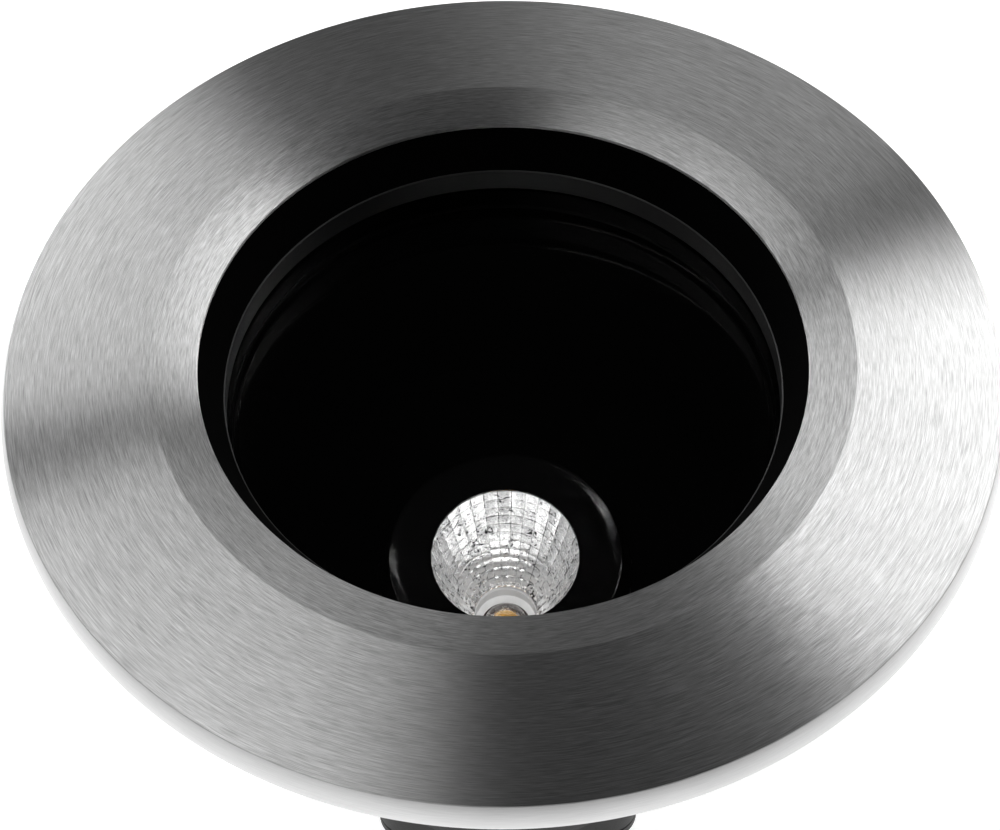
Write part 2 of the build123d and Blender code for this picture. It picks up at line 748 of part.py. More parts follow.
def heatsink():
    """Round base with straight fins, cleared round the pan nut and the screws' heads."""
    solid = rod(SINK_RADIUS, FIN_TOP, SINK_TOP)
    blank = rod(SINK_RADIUS, FIN_FOOT, FIN_TOP)
    first = -(FIN_COUNT - 1) / 2 * FIN_PITCH
    plate = block(FIN_THICKNESS, 2 * SINK_RADIUS, FIN_FOOT, FIN_TOP)
    for i in range(FIN_COUNT):
        solid = solid + (Pos(first + i * FIN_PITCH, 0, 0) * plate & blank)
    solid = solid - rod(SINK_RECESS_RADIUS, FIN_FOOT, FIN_FOOT + SINK_RECESS_DEPTH)
    solid = cut_each(solid, rod(M3[0] + THREAD_FIT, FIN_TOP, SINK_TOP), holder_places())
    solid = cut_each(solid, rod(M3[1] + SCREW_HOLE_FIT, FIN_FOOT, FIN_TOP), post_places())
    return cut_each(solid, rod(M3[0] + SCREW_HOLE_FIT, FIN_TOP, SINK_TOP), post_places())


def head_posts():
    """Three hexagonal posts between the heatsink and the collar's ledge."""
    post = hex_bar(POST_FLATS, SINK_TOP, BALL_LEDGE)
    return copies(post - rod(M3[0] + THREAD_FIT, SINK_TOP, 0), post_places())


def head_screws():
    """Screws from below, through the heatsink's base into the posts."""
    upward = Pos(0, 0, FIN_TOP) * Rot(180, 0, 0) * screw(M3, SINK_BASE + POST_FLATS, 0)
    return copies(upward, post_places())


def tilt_screws():
    """Shoulder screws through the yoke's ears into the bosses, on the tilt axis."""
    size = (TILT_SHANK, TILT_HEAD_RADIUS, TILT_HEAD_HEIGHT)
    along = Rot(0, 90, 0) * screw(size, YOKE_OUTER - BALL_BORE_RADIUS - SHEET, YOKE_OUTER)
    return copies(along, around(2, 0))


def tilt_washers():
    """Thin friction washers between the bosses and the yoke's ears."""
    washer = Rot(0, 90, 0) * ring(TILT_SHANK + THREAD_FIT, BOSS_RADIUS, BOSS_END, YOKE_SPREAD)
    return copies(washer, around(2, 0))


# Yoke, spindle and pan parts

def tilt_yoke():
    """Bent sheet yoke: a disc and strap below, an ear on each side, a stop stud."""
    strap = block(2 * YOKE_OUTER, YOKE_WIDTH, YOKE_FOOT, YOKE_TOP)
    solid = strap + rod(YOKE_DISC_RADIUS, YOKE_FOOT, YOKE_TOP)
    ear_top = PIVOT + BALL_LEDGE - YOKE_EAR_CLEARANCE
    ear = Pos(YOKE_SPREAD + SHEET / 2, 0, 0) * block(SHEET, YOKE_WIDTH, YOKE_FOOT, ear_top)
    ear = chamfer(ear.edges().filter_by(Axis.X).group_by(Axis.Z)[-1], YOKE_EAR_CHAMFER)
    for place in around(2, 0):
        solid = solid + place * ear
    bore = TILT_SHANK + TILT_RUNNING_FIT
    solid = solid - Pos(0, 0, PIVOT) * Rot(0, 90, 0) * rod(bore, -YOKE_OUTER, YOKE_OUTER)
    solid = solid - rod(SPINDLE_RADIUS + PAN_RUNNING_FIT, YOKE_FOOT, YOKE_TOP)
    stud = rod(STOP_RADIUS, WELL_TOP + PART_GAP, YOKE_FOOT)
    return solid + Pos(0, STOP_CIRCLE, 0) * stud


def pan_stop_pin():
    pin = rod(STOP_RADIUS, WELL_TOP - STOP_SINK, YOKE_FOOT - PART_GAP)
    return Pos(0, -STOP_CIRCLE, 0) * pin


def pan_spacer():
    """Plastic ring that the yoke turns on."""
    return ring(SPINDLE_RADIUS + PAN_RUNNING_FIT, PAN_SPACER_RADIUS, WELL_TOP, YOKE_FOOT)


def nut_foot():
    return YOKE_TOP + SPRING_WASHER


def spring_washer():
    """Springy washer that presses the yoke on its spacer."""
    return ring(SPINDLE_RADIUS + PAN_RUNNING_FIT, SPRING_WASHER_RADIUS, YOKE_TOP, nut_foot())


def pan_nut():
    nut = hex_bar(PAN_NUT_FLATS, nut_foot(), nut_foot() + PAN_NUT)
    return nut - rod(SPINDLE_RADIUS + THREAD_FIT, nut_foot(), nut_foot() + PAN_NUT)


def pan_spindle():
    """Hollow spindle through the pot's floor: the lamp lead runs inside."""
    top = nut_foot() + PAN_NUT + SPINDLE_TIP
    return turned(
        (SPINDLE_BORE, POT_FOOT),
        (SPINDLE_FLANGE_RADIUS, POT_FOOT),
        (SPINDLE_FLANGE_RADIUS, POT_FOOT + SPINDLE_FLANGE),
        (SPINDLE_RADIUS, POT_FOOT + SPINDLE_FLANGE),
        (SPINDLE_RADIUS, top),
        (SPINDLE_BORE, top),
    )


# Driver box and what it holds

def base_screw_places():
    inset = 2 * BOX_BOSS_INSET
    return corners(BOX_WIDTH - inset, BOX_DEPTH - inset, BOX_MIDDLE)


def box_shell():
    """Box with rounded corners, open below, with a screw boss in each corner."""
    middle = Pos(0, BOX_MIDDLE, 0)
    inside = (BOX_WIDTH - 2 * BOX_WALL, BOX_DEPTH - 2 * BOX_WALL, BOX_CORNER - BOX_WALL)
    shell = rounded_block(BOX_WIDTH, BOX_DEPTH, BOX_CORNER, BOX_FOOT, BOX_TOP)
    shell = fillet(shell.edges().group_by(Axis.Z)[-1], POT_FILLET)
    shell = middle * (shell - rounded_block(*inside, BOX_FOOT, BOX_CEILING))
    for place in base_screw_places():
        shell = shell + place * rod(BOX_BOSS_RADIUS, BOX_FOOT, BOX_CEILING)
    return shell


def gland_places():
    """Places of the two cable glands: each local Z axis points out of the back wall."""
    upright = Rot(-90, 0, 0) * Rot(0, 0, 30)
    return [Pos(x * GLAND_SHIFT, BOX_BACK, GLAND_HEIGHT) * upright for x in (-1, 1)]


def vent_place():
    """Place of the vent plug on the left wall: its local Z axis points out of the wall."""
    return Pos(-BOX_WIDTH / 2, VENT_SHIFT, BOX_TOP - VENT_DROP) * Rot(0, -90, 0)


def strap_places():
    spread = DRIVER_WIDTH / 2 + STRAP_SHEET + STRAP_EAR / 2
    return [Pos(x * spread, DRIVER_MIDDLE, 0) for x in (-1, 1)]


def terminal_fixing_places():
    spread = (TERMINAL_WIDTH + TERMINAL_EAR[0]) / 2
    return [Pos(x * spread, TERMINAL_MIDDLE, 0) for x in (-1, 1)]


def driver_box():
    """Cast box under the pot, with its holes for screws, lead, glands, vent and earth."""
    solid = box_shell()
    solid = cut_each(solid, rod(M4[0] + THREAD_FIT, BOX_FOOT, BOX_CEILING), base_screw_places())
    solid = cut_each(solid, rod(M4[0] + SCREW_HOLE_FIT, BOX_CEILING, BOX_TOP), box_screw_places())
    solid = cut_each(solid, rod(GLAND_THREAD + THREAD_FIT, -BOX_WALL, 0), gland_places())
    solid = solid - vent_place() * rod(VENT_THREAD + THREAD_FIT, -BOX_WALL, 0)
    tapped = rod(M3[0] + THREAD_FIT, BOX_CEILING, BOX_CEILING + TAP_DEPTH)
    solid = cut_each(solid, tapped, strap_places() + terminal_fixing_places())
    solid = solid - Pos(*EARTH_PLACE, 0) * rod(M4[0] + THREAD_FIT, BOX_CEILING, BOX_TOP)
    return solid - rod(GROMMET_RADIUS + THREAD_FIT, BOX_CEILING, BOX_TOP)


def driver_box_gasket():
    """Flat seal between the pot and the box."""
    width = BOX_WIDTH - 2 * BOX_GASKET_INSET
    front = BOX_GASKET_INSET - BOX_FRONT
    depth = BOX_GASKET_BACK - front
    sheet = rounded_block(width, depth, BOX_GASKET_CORNER, BOX_TOP, POT_FOOT)
    sheet = Pos(0, front + depth / 2, 0) * sheet
    sheet = sheet - rod(GROMMET_RADIUS, BOX_TOP, POT_FOOT)
    return cut_each(sheet, rod(M4[0] + SCREW_HOLE_FIT, BOX_TOP, POT_FOOT), box_screw_places())


def driver_box_screws():
    """Screws from inside the box up into the pot's floor."""
    length = BOX_ROOF + BOX_GASKET + WELL_FLOOR - SPINDLE_FLANGE - PART_GAP
    upward = Pos(0, 0, BOX_CEILING) * Rot(180, 0, 0) * screw(M4, length, 0)
    return copies(upward, box_screw_places())


def lead_grommet():
    """Rubber bush in the box's roof, round the lamp lead."""
    return turned(
        (OUTPUT_LEAD_RADIUS + THREAD_FIT, BOX_CEILING - GROMMET_LIP),
        (GROMMET_FLANGE, BOX_CEILING - GROMMET_LIP),
        (GROMMET_FLANGE, BOX_CEILING),
        (GROMMET_RADIUS, BOX_CEILING),
        (GROMMET_RADIUS, POT_FOOT),
        (OUTPUT_LEAD_RADIUS + THREAD_FIT, POT_FOOT),
    )


def output_lead():
    """Lamp lead: out of the driver's front, up through the grommet and the spindle."""
    level = BOX_CEILING - GROMMET_LIP - OUTPUT_LEAD_BEND - OUTPUT_LEAD_RADIUS
    top = nut_foot() + PAN_NUT + SPINDLE_TIP
    route = FilletPolyline(
        (0, DRIVER_FRONT, level),
        (0, 0, level),
        (0, 0, top),
        radius=OUTPUT_LEAD_BEND,
    )
    section = Plane(origin=route @ 0, z_dir=route % 0) * Circle(OUTPUT_LEAD_RADIUS)
    return sweep(section, path=route)


def led_driver():
    """Potted driver, seated against the box's roof."""
    depth = DRIVER_BACK - DRIVER_FRONT
    solid = block(DRIVER_WIDTH, depth, BOX_CEILING - DRIVER_HEIGHT, BOX_CEILING)
    solid = fillet(solid.edges().filter_by(Axis.Z), DRIVER_EDGE)
    return Pos(0, DRIVER_MIDDLE, 0) * solid


def driver_strap():
    """Sheet strap under the driver, with an ear on each side against the roof."""
    half = DRIVER_WIDTH / 2
    outer = half + STRAP_SHEET
    foot = BOX_CEILING - DRIVER_HEIGHT
    ear = BOX_CEILING - STRAP_SHEET
    right = [(half, foot), (half, BOX_CEILING), (outer + STRAP_EAR, BOX_CEILING)]
    right += [(outer + STRAP_EAR, ear), (outer, ear), (outer, foot - STRAP_SHEET)]
    left = [(-x, z) for x, z in reversed(right)]
    strap = extrude(outline_face(right + left), STRAP_WIDTH / 2, both=True)
    strap = Pos(0, DRIVER_MIDDLE, 0) * strap
    return cut_each(strap, rod(M3[0] + SCREW_HOLE_FIT, ear, BOX_CEILING), strap_places())


def strap_screws():
    length = STRAP_SHEET + TAP_DEPTH - PART_GAP
    upward = Pos(0, 0, BOX_CEILING - STRAP_SHEET) * Rot(180, 0, 0) * screw(M3, length, 0)
    return copies(upward, strap_places())


def pole_places():
    pitch = TERMINAL_WIDTH / TERMINAL_POLES
    first = -(TERMINAL_POLES - 1) / 2 * pitch
    return [Pos(first + i * pitch, 0, 0) for i in range(TERMINAL_POLES)]


def terminal_block():
    """Five-pole block: a wire hole through each pole, a screw shaft below it, two ears."""
    ear_width, ear_depth, ear_height = TERMINAL_EAR
    foot = BOX_CEILING - TERMINAL_HEIGHT
    wire_level = BOX_CEILING - INPUT_LEAD_DROP
    half = TERMINAL_DEPTH / 2
    full_width = TERMINAL_WIDTH + 2 * ear_width
    solid = block(TERMINAL_WIDTH, TERMINAL_DEPTH, foot, BOX_CEILING)
    solid = solid + block(full_width, ear_depth, BOX_CEILING - ear_height, BOX_CEILING)
    wire = Pos(0, 0, wire_level) * Rot(90, 0, 0) * rod(TERMINAL_HOLE, -half, half)
    solid = cut_each(solid, wire, pole_places())
    shaft = rod(TERMINAL_HOLE, foot, wire_level - TERMINAL_HOLE / 2)
    solid = cut_each(solid, shaft, pole_places())
    fixing = rod(M3[0] + SCREW_HOLE_FIT, foot, BOX_CEILING)
    solid = Pos(0, TERMINAL_MIDDLE, 0) * solid
    return cut_each(solid, fixing, terminal_fixing_places())


def terminal_fixings():
    """Screws through the block's ears, up into the box's roof."""
    length = TERMINAL_EAR[2] + TAP_DEPTH - PART_GAP
    seat = Pos(0, 0, BOX_CEILING - TERMINAL_EAR[2])
    upward = seat * Rot(180, 0, 0) * screw(M3, length, 0)
    return copies(upward, terminal_fixing_places())


def terminal_screws():
    """Clamp screws in the poles' shafts, reached from below."""
    foot = BOX_CEILING - TERMINAL_HEIGHT
    top = BOX_CEILING - INPUT_LEAD_DROP - TERMINAL_HOLE
    slotted = rod(TERMINAL_HOLE - THREAD_FIT, foot, top)
    slotted = slotted - block(TERMINAL_HOLE / 3, 2 * TERMINAL_HOLE, foot, foot + TERMINAL_HOLE / 3)
    return copies(Pos(0, TERMINAL_MIDDLE, 0) * slotted, pole_places())


def input_leads():
    """Short single leads from the driver's back into the block's three middle poles."""
    lead = Rot(90, 0, 0) * rod(INPUT_LEAD_RADIUS, -TERMINAL_GAP, 0)
    places = [
        Pos(0, DRIVER_BACK, BOX_CEILING - INPUT_LEAD_DROP) * place
        for place in pole_places()[1:-1]
    ]
    return copies(lead, places)


def base_gasket():
    """Seal that follows the box's rim."""
    inside = (BOX_WIDTH - 2 * BOX_WALL, BOX_DEPTH - 2 * BOX_WALL, BOX_CORNER - BOX_WALL)
    rim = rounded_block(BOX_WIDTH, BOX_DEPTH, BOX_CORNER, BASE_TOP, BOX_FOOT)
    return Pos(0, BOX_MIDDLE, 0) * (rim - rounded_block(*inside, BASE_TOP, BOX_FOOT))


def base_plate():
    """Bottom cover, with its screws sunk in, so that it stands flat."""
    plate = rounded_block(BOX_WIDTH, BOX_DEPTH, BOX_CORNER, BASE_FOOT, BASE_TOP)
    plate = Pos(0, BOX_MIDDLE, 0) * chamfer(plate.edges().group_by(Axis.Z)[0], BASE_CHAMFER)
    sink = rod(M4[1] + SCREW_HOLE_FIT, BASE_FOOT, BASE_FOOT + M4[2] + PART_GAP)
    plate = cut_each(plate, sink, base_screw_places())
    return cut_each(plate, rod(M4[0] + SCREW_HOLE_FIT, BASE_FOOT, BASE_TOP), base_screw_places())


def base_screws():
    seat = BASE_FOOT + M4[2] + PART_GAP
    length = BASE_TOP - seat + BASE_GASKET + BASE_SCREW_GRIP
    upward = Pos(0, 0, seat) * Rot(180, 0, 0) * screw(M4, length, 0)
    return copies(upward, base_screw_places())


# Cable glands, vent and earth screw

def gland_body():
    """Threaded body: shank through the wall, hexagon outside, neck that takes the nut."""
    neck_top = GLAND_FLANGE + GLAND_NECK
    solid = rod(GLAND_THREAD, -GLAND_REACH, 0)
    solid = solid + hex_bar(GLAND_FLATS, 0, GLAND_FLANGE)
    solid = solid + rod(GLAND_NECK_RADIUS, GLAND_FLANGE, neck_top)
    solid = solid - rod(GLAND_BORE, neck_top - GLAND_SEAL_LENGTH, neck_top)
    return solid - rod(GLAND_MOUTH, -GLAND_REACH, GLAND_FLANGE)


def gland_seal():
    """Rubber sleeve in the neck, which grips the cable."""
    top = GLAND_FLANGE + GLAND_NECK
    return ring(CABLE_RADIUS, GLAND_BORE - THREAD_FIT, top - GLAND_SEAL_LENGTH, top)


def gland_nut():
    """Domed nut over the neck, pressing on the sleeve's end."""
    foot = GLAND_FLANGE + PART_GAP
    top = GLAND_FLANGE + GLAND_NECK
    end = foot + GLAND_NUT_LENGTH
    dome = GLAND_FLATS / 2
    shape = turned(
        (0, foot),
        (dome, foot),
        (dome, end - dome / 2),
        (GLAND_BORE, end),
        (0, end),
    )
    shape = shape & hex_bar(GLAND_FLATS - 2 * PART_GAP, foot, end)
    shape = shape - rod(GLAND_NECK_RADIUS + THREAD_FIT, foot, top)
    return shape - rod(GLAND_MOUTH, top, end)


def gland_locknut():
    nut = hex_bar(LOCKNUT_FLATS, -BOX_WALL - GLAND_LOCKNUT, -BOX_WALL)
    return nut - rod(GLAND_THREAD + THREAD_FIT, -BOX_WALL - GLAND_LOCKNUT, -BOX_WALL)


def breather_plug():
    """Vent plug that lets the box breathe, with a grooved grip and side slots."""
    solid = rod(VENT_RADIUS, 0, VENT_HEIGHT) + rod(VENT_THREAD, -BOX_WALL - VENT_NOSE, 0)
    solid = chamfer(solid.edges().sort_by(Axis.Z)[-1], VENT_CHAMFER)
    slot = block(*VENT_SLOT, VENT_CHAMFER, VENT_HEIGHT - VENT_CHAMFER)
    solid = cut_each(solid, slot, around(VENT_SLOTS, VENT_RADIUS))
    return vent_place() * solid


def earth_screw():
    """Earth screw with its cup washer, in the box's roof."""
    seat = BOX_CEILING - CUP_WASHER
    washer = ring(M4[0] + SCREW_HOLE_FIT, M4[1] + CUP_WASHER, seat, BOX_CEILING)
    upward = Pos(0, 0, seat) * Rot(180, 0, 0) * screw(M4, BOX_ROOF, 0)
    return Compound(children=[Pos(*EARTH_PLACE, 0) * washer, Pos(*EARTH_PLACE, 0) * upward])


# Every node and its shape

HEAD = [
    lamp_collar, reflector, cob_holder, holder_screws, cob_board, phosphor_disc,
    led_dome, thermal_pad, heatsink, head_posts, head_screws, tilt_screws, tilt_washers,
]
FIXED = [
    trim_ring, ring_clips, ring_gasket, recess_collar, glass_frame, frame_screws,
    frame_gasket, glass_gasket_upper, glass_pane, glass_gasket_lower, housing,
    chamber_liner, deck_plate, tilt_yoke, pan_stop_pin, pan_spacer, spring_washer,
    pan_nut, pan_spindle, driver_box, driver_box_gasket, driver_box_screws,
    lead_grommet, output_lead, led_driver, driver_strap, strap_screws,
    terminal_block, terminal_screws, terminal_fixings, input_leads, base_gasket,
    base_plate, base_screws, breather_plug, earth_screw,
]
GLAND = [gland_body, gland_seal, gland_nut, gland_locknut]

os.makedirs("parts", exist_ok=True)
for make in FIXED:
    export_step(make(), f"parts/{make.__name__}.step")
for make in HEAD:
    export_step(seat_head(make()), f"parts/{make.__name__}.step")
for make in GLAND:
    for side, place in zip(("left", "right"), gland_places()):
        export_step(place * make(), f"parts/{make.__name__}_{side}.step")
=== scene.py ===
import json
import math
import random

import bpy
from mathutils import Matrix, Vector


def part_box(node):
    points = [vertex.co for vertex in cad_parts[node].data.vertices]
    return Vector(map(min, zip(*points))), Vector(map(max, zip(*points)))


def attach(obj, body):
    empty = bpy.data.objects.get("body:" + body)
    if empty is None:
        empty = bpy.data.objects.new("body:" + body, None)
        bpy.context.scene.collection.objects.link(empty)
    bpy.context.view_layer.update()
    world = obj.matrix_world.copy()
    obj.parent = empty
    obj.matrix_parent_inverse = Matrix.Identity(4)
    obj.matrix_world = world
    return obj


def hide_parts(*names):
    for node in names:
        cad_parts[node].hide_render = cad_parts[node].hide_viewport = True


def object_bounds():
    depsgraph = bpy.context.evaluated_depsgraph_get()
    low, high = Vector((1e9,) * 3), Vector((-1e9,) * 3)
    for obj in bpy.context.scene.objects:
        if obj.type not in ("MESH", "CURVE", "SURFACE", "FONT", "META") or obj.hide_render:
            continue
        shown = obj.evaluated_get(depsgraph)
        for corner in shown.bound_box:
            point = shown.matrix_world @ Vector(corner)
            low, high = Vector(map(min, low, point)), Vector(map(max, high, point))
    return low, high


# Looks of the recessed garden uplight. Metres, +Z up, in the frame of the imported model.
# The near side, towards which the lamp head leans, is -Y.

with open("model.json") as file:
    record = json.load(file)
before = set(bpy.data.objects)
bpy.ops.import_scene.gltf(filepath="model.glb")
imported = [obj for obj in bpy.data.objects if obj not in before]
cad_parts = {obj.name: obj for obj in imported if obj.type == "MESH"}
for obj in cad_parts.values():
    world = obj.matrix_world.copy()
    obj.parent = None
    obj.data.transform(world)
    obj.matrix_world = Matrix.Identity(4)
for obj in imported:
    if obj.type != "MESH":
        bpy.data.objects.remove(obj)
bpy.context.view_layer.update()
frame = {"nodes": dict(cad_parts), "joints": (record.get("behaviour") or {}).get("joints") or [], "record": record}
nodes = frame["nodes"]
joints = {joint["name"]: joint for joint in frame["joints"]}

# Cover ring: its foot and crest come from the frame
ring_low, ring_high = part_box("trim_ring")
GROUND = ring_low.z
CREST_TOP = ring_high.z
CREST_RADIUS = 0.0847
RIM_RADIUS = 0.120
RIM_HEIGHT = 0.0092
RIM_TOP = GROUND + RIM_HEIGHT
FLANK_SLOPE = (CREST_TOP - RIM_TOP) / (RIM_RADIUS - CREST_RADIUS)
EDGE_SWELL = 0.00127
EDGE_SWELL_HEIGHT = 0.0051
EDGE_FOOT_FLARE = 0.0007
EDGE_STEPS = 12
LAND_DROP = 0.0018
HOLE_RADIUS = 0.0734
HOLE_TOP = CREST_TOP - LAND_DROP
HOLE_LIP = 0.001
LIP_UNDERCUT = 0.0009
RING_WALL = 0.0035
EDGE_WALL = 0.0032
SKIRT_INNER = 0.0765
SKIRT_OUTER = 0.0795
SKIRT_LIFT = 0.0044
SKIRT_FOOT = GROUND + SKIRT_LIFT
RIM_ROUND = 0.0003
CREST_ROUND = 0.0008
LIP_ROUND = 0.00025
HIDDEN_ROUND = 0.0003
ROUND_STEPS = 4
RING_STEPS = 720

# Pads for the leaf clips, under the flank
PAD_INNER = 0.1011
PAD_OUTER = 0.1071
PAD_HALF_WIDTH = 0.006
PAD_DEPTH = 0.0095
PAD_FOOT = CREST_TOP - PAD_DEPTH
PAD_COUNT = 3
PAD_FIRST = math.radians(60)

# Reflector, in the lamp head's own frame: the tilt axis is at height 0
HEAD_TILT = math.radians(7)
MOUTH_TOP = 0.0142
MOUTH_RADIUS = 0.0195
NECK_RADIUS = 0.0086
NECK_COLLAR = 0.0005
BOWL_DEPTH = 0.0355
BOWL_WALL = 0.0009
BOWL_FLANGE = 0.00105
FLANGE_RADIUS = MOUTH_RADIUS + BOWL_WALL + BOWL_FLANGE
NECK_TOP = MOUTH_TOP - BOWL_DEPTH
NECK_FOOT = NECK_TOP - NECK_COLLAR
BOWL_SHARP = 12

# Facets of the reflector. A cut is a share of the way along a facet, in both directions,
# and the first and last strips of every facet are the seams round it.
FACET_COLUMNS = 32
FACET_ROWS = 11
FACET_PILLOW = 0.00004
SEAM_SHARE = 0.03
SEAM_DEPTH = 0.00005
FACET_CUTS = (0, SEAM_SHARE, 0.25, 0.5, 0.75, 1 - SEAM_SHARE)
FACET_RINGS = FACET_ROWS * len(FACET_CUTS)
BOWL_STEPS = FACET_COLUMNS * len(FACET_CUTS)
COLUMN_LEAN = 0.00007
ROW_LEAN = 0.00002
FACET_SEED = 4

# Ball-shaped front of the lamp head, in the same frame
BALL_RADIUS = 0.0342
BALL_TOP = 0.015
BALL_BOTTOM = 0.008
BALL_BORE = 0.028
BALL_LEDGE = 0.005
CROWN_START = 0.0273
CROWN_CURVE = 0.025
SHOULDER_ROUND = 0.0005
SEAT_GAP = 0.0002
BOSS_RADIUS = 0.0042
BOSS_BORE = 0.00203
BOSS_START = 0.031
BOSS_END = 0.0357
BALL_STEPS = 16
HEAD_STEPS = 240
BOSS_STEPS = 48

# Part of the casting that gets painted recess shade, a far darker black: within this radius, above this foot,
# and not facing outwards by more than this slope
RECESS_RADIUS = 0.0735
RECESS_FOOT = -0.12
OUTSIDE_SLOPE = 0.25

# Studio floor and wall, and how brightly they show to the camera and in reflections
FLOOR_RADIUS = 1.7
FLOOR_BANDS = 4
FLOOR_STEPS = 96
WALL_CURVE = 0.3
WALL_HEIGHT = 0.6
WALL_STEPS = 12
DIRECT_GLOW = 0.75
FLOOR_GLOW = 1.0
WALL_GLOW = 0.1
GLOW_FADE_START = 0.45
WORLD_STRENGTH = 0.015

# Studio lamps that face the origin: name, azimuth, elevation, width, height, roll
# and radiance, with the angles in degrees
LAMPS = (
    ("right_strip", 39.0, 38.6, 0.31, 1.49, 17.8, 8.7),
    ("left_overhead", 190.3, 58.3, 1.78, 0.78, 15.7, 2.45),
    ("far_left", 130.8, 14.3, 1.15, 0.47, 28.0, 5.21),
    ("far_right", 75.0, 14.3, 0.94, 0.8, -110.8, 0.5),
    ("far_high", 98.0, 50.0, 0.6, 0.3, 0.0, 0.42),
    ("right_low", 356.0, 30.5, 1.04, 0.34, -21.6, 1.4),
    ("glint_left", 125.3, 66.6, 0.03, 0.233, 40.5, 6.7),
    ("glint_right", 64.7, 60.2, 0.03, 0.341, -33.3, 9.2),
)
LAMP_DISTANCE = 1.5
ORIGIN = Vector((0, 0, 0))

# Small lamp under the glass that faces the reflector, written in the same way,
# and the nodes that it lights besides the reflector
FILL_LAMP = ("reflector_fill", 286.0, 67.0, 0.045, 0.045, 0.0, 7.5)
FILL_GAP = 0.003
FILLED = ("led_dome", "phosphor_disc", "cob_board", "cob_holder")

# Camera, fitted to the photograph's ellipses
CAMERA_DISTANCE = 0.720
CAMERA_ELEVATION = math.radians(53.3)
CAMERA_YAW = math.radians(0.07)
CAMERA_PITCH = math.radians(-0.97)
CAMERA_ROLL = math.radians(-0.63)
CAMERA_NEAR = 0.01
SENSOR_WIDTH = 36.0
FOCAL_PIXELS = 2986
IMAGE_WIDTH = 1000


# Outlines in the (radius, height) plane

def arc_points(centre, radius, start, end, steps):
    """Points of an arc, angles in radians."""
    angles = [start + (end - start) * i / steps for i in range(steps + 1)]
    return [(centre[0] + radius * math.cos(a), centre[1] + radius * math.sin(a)) for a in angles]


def circle_centre(first, middle, last):
    """Centre of the circle through three points."""
    ax, ay = first
    bx, by = middle
    cx, cy = last
    a_square, b_square, c_square = ax * ax + ay * ay, bx * bx + by * by, cx * cx + cy * cy
    divisor = 2 * (ax * (by - cy) + bx * (cy - ay) + cx * (ay - by))
    x = (a_square * (by - cy) + b_square * (cy - ay) + c_square * (ay - by)) / divisor
    y = (a_square * (cx - bx) + b_square * (ax - cx) + c_square * (bx - ax)) / divisor
    return x, y


def arc_through(first, middle, last, steps):
    """Points of the arc through three points."""
    x, y = circle_centre(first, middle, last)
    start = math.atan2(first[1] - y, first[0] - x)
    end = math.atan2(last[1] - y, last[0] - x)
    return arc_points((x, y), math.hypot(first[0] - x, first[1] - y), start, end, steps)


def rounded(corner, before, after, radius):
    """Points that round one corner of an outline."""
    point = Vector(corner)
    to_before = (Vector(before) - point).normalized()
    to_after = (Vector(after) - point).normalized()
    half = to_before.angle(to_after) / 2
    reach = radius / math.tan(half)
    centre = point + (to_before + to_after).normalized() * (radius / math.sin(half))
    first = point + to_before * reach - centre
    last = point + to_after * reach - centre
    turn = first.angle_signed(last)
    points = []
    for i in range(ROUND_STEPS + 1):
        spoke = first.copy()
        spoke.rotate(Matrix.Rotation(-turn * i / ROUND_STEPS, 2))
        points.append(tuple(centre + spoke))
    return points


def softened(outline):
    """Closed outline of (radius, height, rounding) corners, as plain points."""
    points = []
    for i, (x, z, radius) in enumerate(outline):
        before, after = outline[i - 1][:2], outline[(i + 1) % len(outline)][:2]
        points += rounded((x, z), before, after, radius) if radius else [(x, z)]
    return points


def meeting(first, first_radius, second, second_radius):
    """Outer point where two circles cross."""
    start = Vector(first)
    way = Vector(second) - start
    along = (first_radius ** 2 - second_radius ** 2 + way.length_squared) / (2 * way.length)
    across = math.sqrt(first_radius ** 2 - along ** 2)
    unit = way.normalized()
    return start + unit * along + Vector((-unit.y, unit.x)) * across


# Meshes

def circle_ring(radius, height, steps):
    """Points round a circle about the Z axis."""
    angles = [2 * math.pi * k / steps for k in range(steps)]
    return [(radius * math.cos(a), radius * math.sin(a), height) for a in angles]


def closed_rings(rings):
    """Vertices and faces of a surface through rings of equal count, closed both ways."""
    count = len(rings[0])
    vertices = [point for one in rings for point in one]
    faces = []
    for i in range(len(rings)):
        below, above = i * count, (i + 1) % len(rings) * count
        for k in range(count):
            n = (k + 1) % count
            faces.append((below + k, below + n, above + n, above + k))
    return vertices, faces


def turned(points, steps):
    """Vertices and faces of a closed outline turned about the Z axis."""
    return closed_rings([circle_ring(r, z, steps) for r, z in points])


def joined(*parts):
    """Several (vertices, faces) pairs as one."""
    vertices, faces = [], []
    for some_vertices, some_faces in parts:
        start = len(vertices)
        vertices += some_vertices
        faces += [tuple(start + v for v in face) for face in some_faces]
    return vertices, faces


def piece(name, shape, material, sharp=35):
    """Object of a (vertices, faces) pair, smooth except over edges sharper than an angle."""
    mesh = bpy.data.meshes.new(name)
    mesh.from_pydata(shape[0], [], shape[1])
    mesh.validate()
    obj = bpy.data.objects.new(name, mesh)
    bpy.context.scene.collection.objects.link(obj)
    mesh.shade_smooth()
    mesh.set_sharp_from_angle(angle=math.radians(sharp))
    mesh.materials.append(material)
    return obj


# Materials

